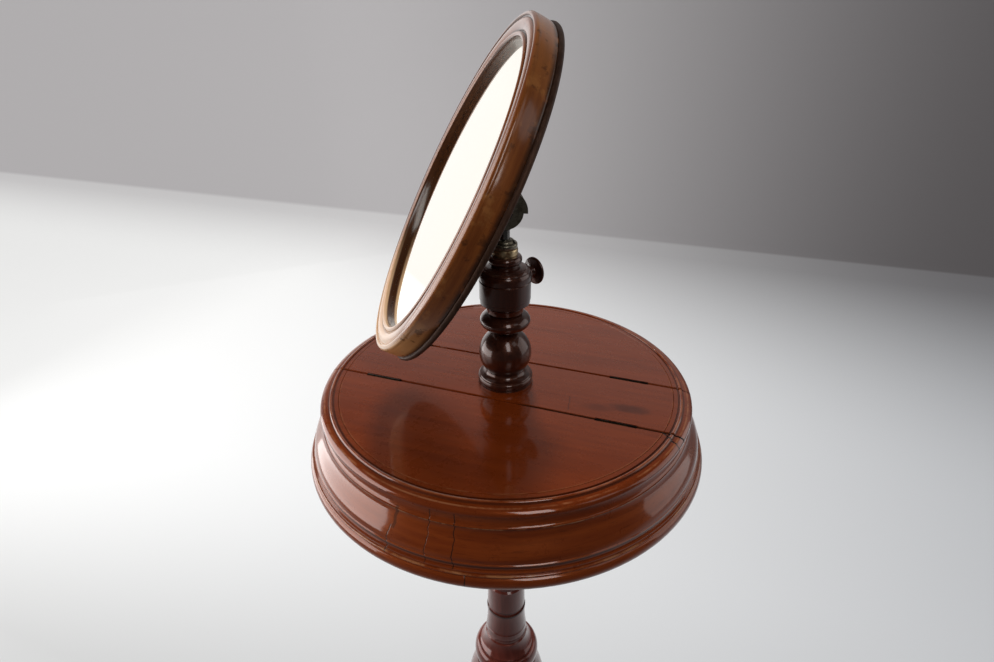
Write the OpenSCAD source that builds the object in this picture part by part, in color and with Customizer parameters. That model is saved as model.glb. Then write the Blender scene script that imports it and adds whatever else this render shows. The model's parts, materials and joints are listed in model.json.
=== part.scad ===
// Gentleman's shaving stand: a round mirror on a telescopic rod, a turned pillar,
// a lidded drum top with two compartments, and a turned pedestal on three legs.
// The floor is z = 0 and the axis of every turning is x = y = 0.
// The lids are hinged along X, the front lid towards -Y and the rear lid towards +Y.

/* [Drum top] */
// Height of the lids' flat top above the floor
top_height = 980; // [900:5:1060]
// Diameter over the lower edge of the lids
lid_d = 368; // [350:1:390]
// Thickness of the lids and of the fixed strip between them
lid_t = 10; // [9:0.5:13]
// Distance from the lid's outer edge to the centre of its raised bead
bead_inset = 10.5; // [9:0.5:16]
// Radius of the raised bead on the lid
bead_r = 1.6; // [1.2:0.1:2]
// Drop of the rounded edge from the flat to the lid's lower edge
thumb_drop = 6; // [4:0.5:7]
// Width of the fixed strip that carries the pillar
strip_w = 75; // [66:1:90]
// Gap between the strip and each lid
joint_gap = 1.2; // [0.8:0.1:1.6]

/* [Drum body] */
// Height of the hollow moulding under the lids
cove_h = 10; // [8:0.5:14]
// Height of the broad ogee moulding
ogee_h = 27.5; // [22:0.5:36]
// How far the ogee flares out
ogee_out = 12; // [8:0.5:16]
// Height of the flat fillets under the ogee
fillet_h = 7; // [5:0.5:9]
// Height of the rounded base moulding
torus_h = 15; // [11:0.5:17]
// How far the base moulding stands out past the ogee
torus_out = 5.5; // [4:0.5:8]
// Thickness of the drum's wall, inside the edge of the lids
drum_wall = 18.5; // [16:0.5:24]
// Thickness of the drum's bottom board
bottom_t = 9; // [7:0.5:12]
// Thickness of the partitions under the strip
partition_t = 9; // [7:0.5:12]
// Length of the block in the middle of the drum
block_length = 90; // [80:1:120]

/* [Lid hinges] */
// Length of each butt hinge
hinge_l = 38; // [30:1:50]
// Distance from the pillar to the middle of each hinge
hinge_x = 119; // [90:1:130]
// Radius of the hinge knuckles
knuckle_r = 2; // [1.8:0.1:2.4]
// Radius of the hinge pins
hinge_pin_r = 0.9; // [0.7:0.05:1]
// Height of a hinge leaf
leaf_h = 7; // [6:0.5:7.5]
// Thickness of a hinge leaf
leaf_t = 1; // [0.8:0.1:1.2]

/* [Pillar] */
// Radius of the pillar's foot
foot_r = 27.5; // [24:0.5:32]
// Height of the pillar's foot moulding
foot_h = 14; // [12:0.5:18]
// Radius of the ball
ball_r = 26; // [24:0.5:28]
// Radius of the neck above the ball
neck_r = 8.6; // [8.2:0.1:11]
// Radius of the flattened ring above the neck
ring_r = 24.5; // [20:0.5:27]
// Height of the flattened ring
ring_h = 18; // [14:0.5:22]
// Radius of the hollow under the head
waist_r = 17.5; // [14:0.5:20]
// Radius of the head that holds the clamp
head_r = 24.5; // [22:0.5:27]
// Height of the straight part of the head
head_h = 24; // [20:0.5:30]
// Height of the rounded shoulder above the head
shoulder_h = 9; // [7:0.5:12]
// Radius of the bead under the brass ring
top_bead_r = 16; // [15:0.5:19]
// Height of the bead under the brass ring
top_bead_h = 8; // [6:0.5:10]
// Radius of the brass ring
brass_ring_r = 12.1; // [11.5:0.1:14]
// Height of the brass ring
brass_ring_h = 7; // [5:0.5:9]
// Height of the domed collar on top of the ring
collar_h = 8; // [6:0.5:10]

/* [Rod and clamp] */
// Radius of the telescopic rod
rod_r = 4.5; // [4:0.1:4.8]
// Travel of the rod
rod_travel = 240; // [150:5:250]
// Direction of the clamp knob, seen from above and turned from +X
clamp_angle = 58; // [35:1:65]
// Radius of the clamp knob
knob_r = 13.5; // [11:0.5:16]
// Thickness of the clamp knob's disc
knob_t = 9; // [7:0.5:11]
// Length of the knob's neck
knob_neck = 6.5; // [2:0.5:8]
// Radius of the round boss that the clamp screw passes through
boss_r = 10; // [8:0.5:11]
// Radius of the clamp screw
clamp_screw_r = 3; // [2.5:0.1:3.5]
// Length of the brass shoe between the screw and the rod
shoe_l = 5; // [4:0.5:7]

/* [Mirror] */
// Height of the tilting pivot above the lids
pivot_height = 176.5; // [174:0.5:200]
// Upward tilt of the mirror as it stands
mirror_tilt = 28.6; // [20:0.1:35]
// Direction that the mirror faces, seen from above and turned from +X
mirror_turn = 207; // [180:1:230]
// How far the mirror's centre sits below the line of its knuckle
mirror_drop = 3; // [0:0.5:6]
// Diameter of the opening that shows the glass
sight_d = 259; // [240:1:272]
// Width of the mirror frame's face, from the opening to its side
frame_band = 21; // [18:0.5:26]
// Depth of the mirror frame without its back board
frame_depth = 18.5; // [16:0.5:24]
// Distance from the pivot to the face of the back board
pivot_reach = 34.5; // [31:0.5:40]
// Depth of the glass below the frame's front
glass_sink = 7; // [6:0.5:9]
// Thickness of the glass
glass_t = 4; // [3:0.5:5]
// Thickness of the back board
back_t = 4.5; // [4:0.5:7]
// How far the back board stands out past the frame
back_lip = 1.5; // [0.5:0.1:2]

/* [Mirror knuckle] */
// Radius of the rod's eye
eye_r = 15; // [13:0.5:16]
// Thickness of the rod's eye
eye_t = 10; // [9.7:0.1:12]
// Outer radius of the quadrant cheeks
cheek_r = 19.5; // [18:0.5:22]
// Thickness of the quadrant cheeks
cheek_t = 3; // [2.5:0.5:4]
// Radius of the pivot screw
pivot_pin_r = 3; // [2.5:0.1:3.5]
// Width of the plate on the mirror's back, along the tilt axis
plate_w = 46; // [44:1:60]
// Height of the plate on the mirror's back
plate_l = 76; // [70:1:90]
// Thickness of the plate on the mirror's back
plate_t = 3; // [2.5:0.5:4]

/* [Pedestal] */
// Radius of the pedestal shaft
shaft_r = 23.7; // [21:0.1:27]
// Distance from the lids' top down to the shaft's two grooves
groove_down = 338; // [300:1:360]
// Height of the large rounded moulding
vase_torus_h = 28; // [24:1:36]
// Radius of the large rounded moulding
vase_torus_r = 41.9; // [36:0.1:46]
// Distance from the lids' top down to the widest point of that moulding
torus_down = 427; // [415:1:440]
// Radius of the lower vase
vase_r = 52; // [46:0.5:58]
// Radius of the lower vase's narrow stem
stem_r = 25; // [22:0.5:30]
// Radius of the block that holds the legs
leg_block_r = 38; // [34:0.5:42]
// Radius of the flange that holds the drum
flange_r = 78; // [70:1:90]
// Thickness of the flange that holds the drum
flange_t = 16; // [13:0.5:20]
// Thickness of that flange near its rim
flange_edge_t = 9; // [7:0.5:12]

/* [Legs] */
// Distance from the axis to the tip of each foot
leg_reach = 198; // [188:1:200]
// Height at which the legs leave the block
leg_top = 286; // [270:1:300]
// Height of the underside of the leg block
leg_base = 150; // [140:1:160]
// Thickness of a leg at the knee
leg_t = 34; // [28:1:38]
// Thickness of a leg at the foot
foot_t = 26; // [20:1:30]
// Thickness of the iron plate under the legs
brace_t = 3; // [2:0.5:4]

/* [Fits] */
// Clearance of a piece that sits still in its seat
seat_gap = 0.2; // [0.1:0.05:0.3]
// Radial clearance of a piece that turns or slides
run_gap = 0.06; // [0.02:0.01:0.09]

/* [Hidden] */

$fn = 96;
step = 0.01;

lid_r = lid_d / 2;
top_z = top_height;
rim_top = top_z - lid_t;
cove_low = rim_top - cove_h;
ogee_low = cove_low - ogee_h;
torus_top = ogee_low - fillet_h;
drum_low = torus_top - torus_h;
arris_r = lid_r - 0.5;
ogee_r = arris_r + ogee_out;
torus_r = ogee_r + torus_out;
drum_inner_r = lid_r - drum_wall;
bottom_top = drum_low + bottom_t;
bottom_r = drum_inner_r + 9;

// A point list for an arc from angle a0 to a1
function arc(x, y, r, a0, a1, n = 8) =
    [for (i = [0 : n]) let (a = a0 + (a1 - a0) * i / n) [x + r * cos(a), y + r * sin(a)]];

// A point list for a quarter of an ellipse with its centre at c
function oval(c, rx, ry, a0, a1, n = 8) =
    [for (i = [0 : n]) let (a = a0 + (a1 - a0) * i / n) [c.x + rx * cos(a), c.y + ry * sin(a)]];

// An S curve from p to q that starts and ends upright
function ogee(p, q, n = 12) =
    [for (i = [0 : n]) let (t = i / n)
        [p.x + (q.x - p.x) * (1 - cos(180 * t)) / 2, p.y + (q.y - p.y) * t]];

// A bulge between two heights, r0 at its ends and r at its widest
function bulge(r0, r, z0, z1, n = 12) =
    [for (i = [0 : n]) let (a = -90 + 180 * i / n)
        [r0 + (r - r0) * cos(a), (z0 + z1) / 2 + (z1 - z0) / 2 * sin(a)]];

// A smooth curve with two guide points
function bend(p0, p1, p2, p3, n = 10) =
    [for (i = [0 : n]) let (t = i / n, s = 1 - t)
        s * s * s * p0 + 3 * s * s * t * p1 + 3 * s * t * t * p2 + t * t * t * p3];

// A point list without points that repeat the one before
function no_repeats(list) =
    [for (i = [0 : len(list) - 1]) if (i == 0 || norm(list[i] - list[i - 1]) > step) list[i]];

// A solid turned from its outline, which runs upwards, closed along the inner radius
module turned(outline, inner = 0) {
    low = outline[0].y;
    high = outline[len(outline) - 1].y;
    rotate_extrude() polygon(no_repeats(concat([[inner, low]], outline, [[inner, high]])));
}

// A straight hole or pin from z0 to z1
module post(r, z0, z1) {
    translate([0, 0, z0]) cylinder(r = r, h = z1 - z0);
}

// A screw that points along -Z with its head's top at z = 0
screw_head_h = 1.2;
module screw(r, l) {
    translate([0, 0, -screw_head_h]) cylinder(r1 = r, r2 = 2 * r, h = screw_head_h);
    translate([0, 0, -l]) cylinder(r = r, h = l - screw_head_h + step);
}
module screw_hole(r, l, over = 0) {
    gap = seat_gap / 2;
    translate([0, 0, -screw_head_h]) cylinder(r1 = r + gap, r2 = 2 * r + gap, h = screw_head_h);
    translate([0, 0, -l - gap]) cylinder(r = r + gap, h = l + gap - screw_head_h + step);
    if (over > 0) translate([0, 0, -step]) cylinder(r = 2 * r + gap, h = over);
}

// Drum top: one moulded disc, cut into the strip and the two lids
edge_ease = 1;
axis_sink = joint_gap / 2 + edge_ease;
hinge_y = strip_w / 2;
hinge_z = top_z - axis_sink;
relief_r = knuckle_r + 0.3;
leaf_low = hinge_z - leaf_h;
lid_screw_r = 0.8;
lid_screw_l = 8;

module moulded_top() {
    bead_at = lid_r - bead_inset;
    quirk_z = top_z - 1;
    quirk_w = 1.4;
    bead_foot = 1.2;
    undercut = 2.5;
    line_w = 0.7;
    line_at = bead_at - 7.5;
    edge_z = top_z - thumb_drop;
    thumb_in = bead_at + bead_r + quirk_w;
    under_r = lid_r - undercut;
    turned(concat(
        [[under_r, rim_top], [lid_r, edge_z - 1], [lid_r, edge_z]],
        oval([thumb_in, edge_z], lid_r - thumb_in, thumb_drop - quirk_w, 6, 90, 10),
        [[bead_at + bead_r, quirk_z]],
        arc(bead_at, quirk_z, bead_r, 20, 160, 8),
        [[bead_at - bead_r, quirk_z], [bead_at - bead_r - bead_foot, quirk_z],
         [bead_at - bead_r - 1.6, top_z]],
        [[line_at + line_w / 2, top_z], [line_at, top_z - line_w], [line_at - line_w / 2, top_z]]
    ));
}

// The part of the top on one side of a joint: the eased edge meets the hinge line
module joint_side(from_y, eased_low, eased_high) {
    reach = lid_r + 5;
    lo = eased_low ? edge_ease : 0;
    hi = eased_high ? edge_ease : 0;
    translate([-reach, 0, 0]) rotate([90, 0, 90]) linear_extrude(2 * reach)
        polygon(no_repeats([
            [from_y[0], rim_top - 1], [from_y[1], rim_top - 1],
            [from_y[1], top_z - hi], [from_y[1] - hi, top_z],
            [from_y[1] - hi, top_z + 3], [from_y[0] + lo, top_z + 3],
            [from_y[0] + lo, top_z], [from_y[0], top_z - lo]
        ]));
}

// Everything a hinge needs cut from the wood on one side of the joint
module hinge_cuts(side, face) {
    for (x = [-hinge_x, hinge_x]) {
        translate([x - hinge_l / 2 - 0.3, side * hinge_y, hinge_z]) rotate([0, 90, 0])
            cylinder(r = relief_r, h = hinge_l + 0.6);
        translate([x - hinge_l / 2 - 0.3, side * hinge_y - relief_r, hinge_z])
            cube([hinge_l + 0.6, 2 * relief_r, axis_sink + 3]);
        depth = leaf_t + seat_gap / 2;
        y = side * hinge_y + face * joint_gap / 2;
        translate([x - hinge_l / 2 - seat_gap / 2, min(y, y + face * depth), leaf_low - seat_gap / 2])
            cube([hinge_l + seat_gap, depth, leaf_h]);
        hinge_screw_places(x, side, face) screw_hole(lid_screw_r, lid_screw_l, 1);
    }
}

module hinge_screw_places(x, side, face) {
    for (dx = [-hinge_l / 4, hinge_l / 4])
        translate([x + dx, side * hinge_y + face * joint_gap / 2, leaf_low + 2.2])
            rotate([face * 90, 0, 0]) children();
}

module hinge_screws(side, face) {
    for (x = [-hinge_x, hinge_x])
        hinge_screw_places(x, side, face) screw(lid_screw_r, lid_screw_l);
}

// One leaf with its share of the five knuckles: 0 starts at the end, 1 one further in
module hinge_leaf(x, side, face, first) {
    bay = hinge_l / 5;
    difference() {
        union() {
            y = side * hinge_y + face * joint_gap / 2;
            translate([x - hinge_l / 2, min(y, y + face * leaf_t), leaf_low])
                cube([hinge_l, leaf_t, leaf_h - knuckle_r - 0.3]);
            for (i = [first : 2 : 4])
                translate([x - hinge_l / 2 + i * bay + 0.1, 0, 0]) {
                    translate([0, side * hinge_y, hinge_z]) rotate([0, 90, 0])
                        cylinder(r = knuckle_r, h = bay - 0.2);
                    translate([0, min(y, y + face * leaf_t), leaf_low])
                        cube([bay - 0.2, leaf_t, leaf_h]);
                }
        }
        translate([x - hinge_l / 2 - 1, side * hinge_y, hinge_z]) rotate([0, 90, 0])
            cylinder(r = hinge_pin_r + run_gap, h = hinge_l + 2);
        hinge_screw_places(x, side, face) screw_hole(lid_screw_r, lid_screw_l, 1);
    }
}

module hinge_leaves(side, face, first) {
    color("darkgoldenrod") for (x = [-hinge_x, hinge_x]) hinge_leaf(x, side, face, first);
}

module hinge_pins(side) {
    color("goldenrod") for (x = [-hinge_x, hinge_x])
        translate([x - hinge_l / 2, side * hinge_y, hinge_z]) rotate([0, 90, 0])
            cylinder(r = hinge_pin_r, h = hinge_l);
}

module lid(side) {
    far = lid_r + 5;
    edge = hinge_y + joint_gap / 2;
    span = side > 0 ? [edge, far] : [-far, -edge];
    color("sienna") difference() {
        intersection() {
            moulded_top();
            joint_side(span, side > 0, side < 0);
        }
        hinge_cuts(side, side);
    }
}

module front_lid() { lid(-1); }
module rear_lid() { lid(1); }

module strip_hinge_screws() {
    color("goldenrod") for (side = [-1, 1]) hinge_screws(side, -side);
}
module lid_screws(side) {
    color("goldenrod") hinge_screws(side, side);
}

// Fixed strip, with the hole for the pillar's tenon
tenon_r = 15;
tenon_l = 34;
module centre_strip() {
    edge = hinge_y - joint_gap / 2;
    color("saddlebrown") difference() {
        intersection() {
            moulded_top();
            joint_side([-edge, edge], true, true);
        }
        for (side = [-1, 1]) hinge_cuts(side, -side);
        post(tenon_r + seat_gap, rim_top - 1, top_z + 3);
    }
}

// Drum body
module drum_rim() {
    color("sienna") difference() {
        turned(concat(
            [[ogee_r + 1.6, torus_top], [ogee_r + 1.6, torus_top + 2.2]],
            [[ogee_r, torus_top + 2.8], [ogee_r, ogee_low + 1]],
            ogee([ogee_r - 0.8, ogee_low + 1.6], [arris_r - 1.2, cove_low - 0.8]),
            [[arris_r, cove_low - 0.4]],
            oval([arris_r, rim_top], 3.6, cove_h - 0.6, 270, 180, 8)
        ), drum_inner_r);
        bottom_screw_places() screw_hole(flange_screw_r, bottom_screw_l);
    }
}

module base_moulding() {
    color("sienna") difference() {
        turned(concat(
            [[torus_r - 4.5, drum_low]],
            oval([torus_r - 4.5, drum_low + torus_h * 0.42], 4.5, torus_h * 0.42, -90, 60, 12),
            [[torus_r - 3.4, torus_top - 2.6]],
            arc(torus_r - 3.6, torus_top - 1.3, 1.3, -60, 90, 6)
        ), drum_inner_r);
        post(bottom_r + seat_gap, drum_low - 1, bottom_top);
        bottom_screw_places() screw_hole(flange_screw_r, bottom_screw_l);
    }
}

flange_screw_r = 2;
flange_screw_l = flange_edge_t + bottom_t - 2;
module flange_screw_places() {
    for (a = [0 : 60 : 300])
        rotate([0, 0, a + 30]) translate([flange_r - 14, 0, drum_low - flange_edge_t])
            rotate([180, 0, 0]) children();
}
module bottom_screw_places() {
    for (a = [0 : 45 : 315])
        rotate([0, 0, a + 22.5]) translate([drum_inner_r + 4, 0, drum_low])
            rotate([180, 0, 0]) children();
}
bottom_screw_l = bottom_t + 7;

module drum_bottom() {
    color("peru") difference() {
        post(bottom_r, drum_low, bottom_top);
        post(shaft_tenon_r + seat_gap, drum_low - 1, bottom_top + 1);
        flange_screw_places() screw_hole(flange_screw_r, flange_screw_l);
        bottom_screw_places() screw_hole(flange_screw_r, bottom_screw_l, 1);
    }
}

module bottom_screws() {
    color("dimgray") bottom_screw_places() screw(flange_screw_r, bottom_screw_l);
}

// Partitions stand on the bottom board and carry the strip
module partition(side) {
    face = hinge_y - 1.5;
    y = side > 0 ? face - partition_t : -face;
    color("peru") intersection() {
        post(drum_inner_r - seat_gap, bottom_top, rim_top);
        translate([-drum_inner_r, y, bottom_top])
            cube([2 * drum_inner_r, partition_t, rim_top - bottom_top]);
    }
}
module front_partition() { partition(-1); }
module rear_partition() { partition(1); }

// Block that ties the pillar, the strip and the pedestal together
shaft_tenon_r = 17;
shaft_tenon_l = 22;
module centre_block() {
    wide = 2 * (hinge_y - 1.5 - partition_t);
    color("peru") difference() {
        translate([-block_length / 2, -wide / 2, bottom_top])
            cube([block_length, wide, rim_top - bottom_top]);
        post(runner_bore_r, bottom_top - 1, rim_top + 1);
        post(tenon_r + seat_gap, top_z - tenon_l, rim_top + 1);
        post(shaft_tenon_r + seat_gap, bottom_top - 1, drum_low + shaft_tenon_l + seat_gap);
    }
}

// Flange: a turned disc that thins to its edge, screwed up into the bottom board
module drum_flange() {
    color("maroon") difference() {
        turned(concat(
            [[shaft_r + 8, drum_low - flange_t]],
            oval([shaft_r + 8, drum_low - flange_edge_t], 16, flange_t - flange_edge_t, -90, 0, 6),
            [[flange_r - 3, drum_low - flange_edge_t]],
            arc(flange_r - 3, drum_low - flange_edge_t + 3, 3, -90, 0, 5),
            [[flange_r, drum_low - 2], [flange_r - 2, drum_low]]
        ));
        post(shaft_tenon_r + seat_gap, drum_low - flange_t - 1, drum_low + 1);
        flange_screw_places() screw_hole(flange_screw_r, flange_screw_l, 1);
    }
}
module flange_screws() {
    color("dimgray") flange_screw_places() screw(flange_screw_r, flange_screw_l);
}

// Pillar: foot, ball, flattened ring, waist, head with the clamp, and bead
bore_r = rod_r + 0.6;
runner_r = bore_r + 2.4;
runner_gap = 0.3;
runner_bore_r = runner_r + runner_gap;
ball_z = foot_h + sqrt(ball_r * ball_r - 18 * 18);
ball_turn = asin((ball_z - foot_h) / ball_r);
neck_z = ball_z + sqrt(ball_r * ball_r - neck_r * neck_r);
ring_low = neck_z + 2;
ring_high = ring_low + ring_h;
head_low = ring_high + 10;
head_flat = head_low + 4;
head_high = head_flat + head_h;
neck2_z = head_high + shoulder_h;
bead_low = neck2_z + 2.5;
bead_high = bead_low + top_bead_h;
clamp_z = head_high - 6;
head_line_z = clamp_z + 1.5;

module pillar() {
    neck_turn = acos(neck_r / ball_r);
    shoulder = [top_neck_r + 1, head_high];
    shoulder_w = head_r - shoulder[0];
    notch = 0.5;
    color([0.16, 0.06, 0.04]) difference() {
        translate([0, 0, top_z]) turned(concat(
            [[tenon_r, -tenon_l], [tenon_r, 0], [foot_r - 0.8, 0], [foot_r - 0.5, 1.5]],
            bulge(foot_r - 1.5, foot_r, 2, foot_h - 5.5, 8),
            oval([foot_r - 2, foot_h], foot_r - 2 - 19, 4.5, 270, 180, 6),
            [for (i = [1 : 16]) let (a = -ball_turn + (neck_turn + ball_turn) * i / 16)
                [ball_r * cos(a), ball_z + ball_r * sin(a)]],
            [[neck_r, ring_low]],
            bulge(neck_r + 1.5, ring_r, ring_low, ring_high, 14),
            [[waist_r, ring_high + 1]],
            bend([waist_r, ring_high + 2], [waist_r, head_low - 3],
                [waist_r + 2, head_low - 1], [head_r - 2, head_low], 6),
            [[head_r - 0.6, head_low + 0.6], [head_r - 0.6, head_flat]],
            [[head_r, head_flat + 0.6], [head_r, head_line_z - 0.8],
             [head_r - 0.8, head_line_z], [head_r, head_line_z + 0.8]],
            [[head_r, head_high]],
            oval(shoulder, shoulder_w, shoulder_h, 4, 28, 4),
            oval(shoulder, shoulder_w - notch, shoulder_h - notch, 31, 32, 1),
            oval(shoulder, shoulder_w, shoulder_h, 34, 52, 3),
            oval(shoulder, shoulder_w - notch, shoulder_h - notch, 55, 56, 1),
            oval(shoulder, shoulder_w, shoulder_h, 58, 84, 4),
            [[top_neck_r, neck2_z], [top_neck_r, bead_low]],
            bulge(top_neck_r, top_bead_r, bead_low, bead_high, 10),
            [[top_neck_r, bead_high]]
        ));
        post(bore_r, top_z - tenon_l - 1, top_z + bead_high + 1);
        clamp_place() {
            cylinder(r = shoe_r + seat_gap, h = nut_in + 1);
            translate([0, 0, nut_in]) cylinder(r = nut_r + seat_gap / 2, h = head_r);
            boss_seat(seat_gap / 2);
        }
        collar_screw_places() screw_hole(1, collar_screw_l);
    }
}
top_neck_r = 13;

// Frame of the clamp: z runs out along the screw
module clamp_place() {
    translate([0, 0, top_z + clamp_z]) rotate([0, 0, clamp_angle]) rotate([0, 90, 0]) children();
}

// Brass ring and collar round the mouth of the bore
collar_screw_l = 12;
ring_low_z = top_z + bead_high;
collar_z = ring_low_z + brass_ring_h;
module brass_ring() {
    color("burlywood") difference() {
        turned(concat(
            [[brass_ring_r - 0.4, ring_low_z]],
            bulge(brass_ring_r - 0.4, brass_ring_r, ring_low_z + 0.3, collar_z - 0.3, 6),
            [[brass_ring_r - 0.4, collar_z]]
        ));
        post(bore_r, ring_low_z - 1, collar_z + 1);
        collar_screw_places() screw_hole(1, collar_screw_l);
    }
}
module collar_screw_places() {
    for (a = [0 : 120 : 240])
        rotate([0, 0, a]) translate([8.6, 0, collar_z + 1.4]) children();
}
module collar() {
    collar_r = brass_ring_r - 0.6;
    collar_side = collar_z + 5;
    edge_r = 1.4;
    dome_r = 9;
    color([0.32, 0.34, 0.28]) difference() {
        turned(concat(
            [[brass_ring_r - 1, collar_z], [collar_r, collar_z + 0.6]],
            arc(collar_r - edge_r, collar_side - edge_r, edge_r, 0, 90, 6),
            [[dome_r, collar_side]],
            oval([rod_r + 1.4, collar_side], dome_r - rod_r - 1.4, collar_h - collar_side + collar_z, 0, 90, 8)
        ));
        post(rod_r + run_gap, collar_z - 1, collar_z + collar_h + 1);
        collar_screw_places() {
            screw_hole(1, collar_screw_l);
            translate([0, 0, -step]) cylinder(r = 2.1, h = collar_h);
        }
    }
}
module collar_screws() {
    color("dimgray") collar_screw_places() screw(1, collar_screw_l);
}

// Clamp: boss, threaded nut, shoe, screw and knob
nut_r = 6;
nut_out = head_r - 2;
nut_in = 12;
shoe_r = 4.2;
boss_out = head_r + 1.4;
knob_in = boss_out + 0.6;

module boss_seat(gap) {
    translate([0, 0, nut_out]) cylinder(r = boss_r + gap, h = 6);
}
module clamp_boss() {
    color([0.13, 0.07, 0.05]) clamp_place() difference() {
        union() {
            translate([0, 0, nut_out]) cylinder(r = boss_r, h = boss_out - nut_out - 0.8);
            translate([0, 0, boss_out - 0.8]) cylinder(r1 = boss_r, r2 = boss_r - 1.4, h = 0.8);
        }
        cylinder(r = clamp_screw_r + 0.4, h = boss_out + 1);
    }
}
module clamp_nut() {
    color("goldenrod") clamp_place() difference() {
        translate([0, 0, nut_in]) cylinder(r = nut_r, h = nut_out - nut_in);
        cylinder(r = clamp_screw_r + run_gap, h = nut_out + 1);
    }
}
module clamp_shoe() {
    color("goldenrod") clamp_place() difference() {
        translate([0, 0, rod_r - 1]) cylinder(r = shoe_r, h = shoe_l + 1);
        rotate([0, -90, 0]) translate([0, 0, -10]) cylinder(r = rod_r + run_gap, h = 20);
    }
}
module clamp_screw() {
    inner = rod_r + shoe_l;
    color("dimgray") clamp_place()
        translate([0, 0, inner]) cylinder(r = clamp_screw_r, h = knob_in + knob_neck - inner);
}
module clamp_knob() {
    far = knob_in + knob_neck + knob_t;
    disc = knob_in + knob_neck;
    color([0.1, 0.06, 0.05]) clamp_place() difference() {
        turned(concat(
            [[6, knob_in], [6.4, knob_in + 0.8], [5.2, knob_in + 1.4]],
            bend([5.2, disc - 0.4], [5.4, disc + 0.8], [8, disc + 1], [knob_r - 1.4, disc + 1.6], 6),
            bulge(knob_r - 1.4, knob_r, disc + 1.6, disc + 4.6, 8),
            bend([knob_r - 2, disc + 4.8], [knob_r - 4, disc + knob_t - 1.6],
                [5, far], [0.4, far], 8)
        ));
        translate([0, 0, knob_in - 1]) cylinder(r = clamp_screw_r + seat_gap / 2, h = knob_neck + 1);
    }
}

cheek_in = eye_t / 2 + 0.4;
cheek_out = cheek_in + cheek_t;

// Rod: eye at the top, and a runner at its foot that stops it below the pillar
pivot_z = top_z + pivot_height;
runner_h = 12;
runner_slack = 1;
runner_top = top_z - tenon_l - rod_travel - runner_slack;
rod_low = runner_top - runner_h;
spigot_r = 3;
end_screw_r = 1.5;
end_screw_l = 16;
module rod() {
    color("gray") difference() {
        union() {
            post(rod_r, runner_top, pivot_z - eye_r + 2);
            post(spigot_r, rod_low, runner_top + 1);
            post(cheek_in - 0.2, pivot_z - eye_r - 2.5, pivot_z - eye_r + 1.5);
            tilt_place() cylinder(r = eye_r, h = eye_t, center = true);
        }
        tilt_place() cylinder(r = pivot_pin_r + run_gap, h = eye_t + 2, center = true);
        post(end_screw_r + seat_gap / 2, rod_low - 1, rod_low + end_screw_l);
    }
}
module rod_runner() {
    color("goldenrod") difference() {
        post(runner_r, rod_low, runner_top);
        post(spigot_r + run_gap, rod_low - 1, runner_top + 1);
    }
}
module rod_end_screw() {
    color("dimgray") {
        post(spigot_r + 2, rod_low - 2, rod_low);
        post(end_screw_r, rod_low - step, rod_low + end_screw_l);
    }
}

// Frame of the tilt axis: z runs along it, towards the viewer's side of the mirror
module tilt_place() {
    translate([0, 0, pivot_z]) rotate([0, 0, mirror_turn]) rotate([-90, 0, 0]) children();
}
// Frame of the mirror: z runs out of the glass, y along the tilt axis
module mirror_place() {
    translate([0, 0, pivot_z]) rotate([0, 0, mirror_turn]) rotate([0, 90 - mirror_tilt, 0]) children();
}

module pivot_screw() {
    color("dimgray") tilt_place() {
        translate([0, 0, -cheek_out - 0.8]) cylinder(r = pivot_pin_r, h = 2 * cheek_out + 7.4);
        translate([0, 0, -cheek_out - 3.2]) cylinder(r = 5.4, h = 2.4);
    }
}
module pivot_washers() {
    color("goldenrod") tilt_place() for (z = [cheek_out, -cheek_out - 0.8])
        translate([0, 0, z]) difference() {
            cylinder(r = 6, h = 0.8);
            translate([0, 0, -1]) cylinder(r = pivot_pin_r + run_gap, h = 3);
        }
}
module pivot_nut() {
    color("dimgray") tilt_place() translate([0, 0, cheek_out + 0.8]) difference() {
        cylinder(r = 5.5, h = 4.4, $fn = 6);
        translate([0, 0, -1]) cylinder(r = pivot_pin_r + run_gap, h = 8);
    }
}

// Quadrant cheeks: a disc round the pivot, stepped down at the stop, and a web to the plate
stop_angle = 246.6;
module cheek_outline() {
    reach = pivot_reach - plate_t / 2;
    far = 3 * cheek_r;
    difference() {
        union() {
            circle(r = eye_r + 0.6);
            intersection() {
                circle(r = cheek_r);
                polygon([[0, 0], [far * cos(stop_angle), far * sin(stop_angle)],
                         [-far, far * sin(stop_angle)], [-far, far], [0, far]]);
            }
            polygon([[0, 0], [-cheek_r, 0], [-cheek_r, 12], [-plate_l / 2 + 14, reach],
                     [plate_l / 2 - 14, reach], [eye_r + 0.6, 10], [eye_r + 0.6, 0]]);
        }
        circle(r = pivot_pin_r + run_gap);
    }
}

bracket_screw_r = 1.6;
bracket_screw_l = plate_t + back_t - 1;
module bracket_screw_places() {
    for (x = [-plate_l / 2 + 8, plate_l / 2 - 8], y = [-plate_w / 2 + 8, plate_w / 2 - 8])
        mirror_place() translate([x, y, pivot_reach - plate_t]) rotate([180, 0, 0]) children();
}
module mirror_bracket() {
    corner = 8;
    color([0.28, 0.29, 0.24]) difference() {
        mirror_place() {
            for (y = [-cheek_out, cheek_in])
                translate([0, y + cheek_t, 0]) rotate([90, 0, 0]) linear_extrude(cheek_t) cheek_outline();
            translate([0, 0, pivot_reach - plate_t]) linear_extrude(plate_t) {
                square([plate_l - 2 * corner, plate_w], center = true);
                square([plate_l, plate_w - 2 * corner], center = true);
                for (x = [-1, 1], y = [-1, 1])
                    translate([x * (plate_l / 2 - corner), y * (plate_w / 2 - corner)])
                        circle(r = corner);
            }
        }
        bracket_screw_places() screw_hole(bracket_screw_r, bracket_screw_l, 2);
    }
}
module bracket_screws() {
    color("dimgray") bracket_screw_places() screw(bracket_screw_r, bracket_screw_l);
}

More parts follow.
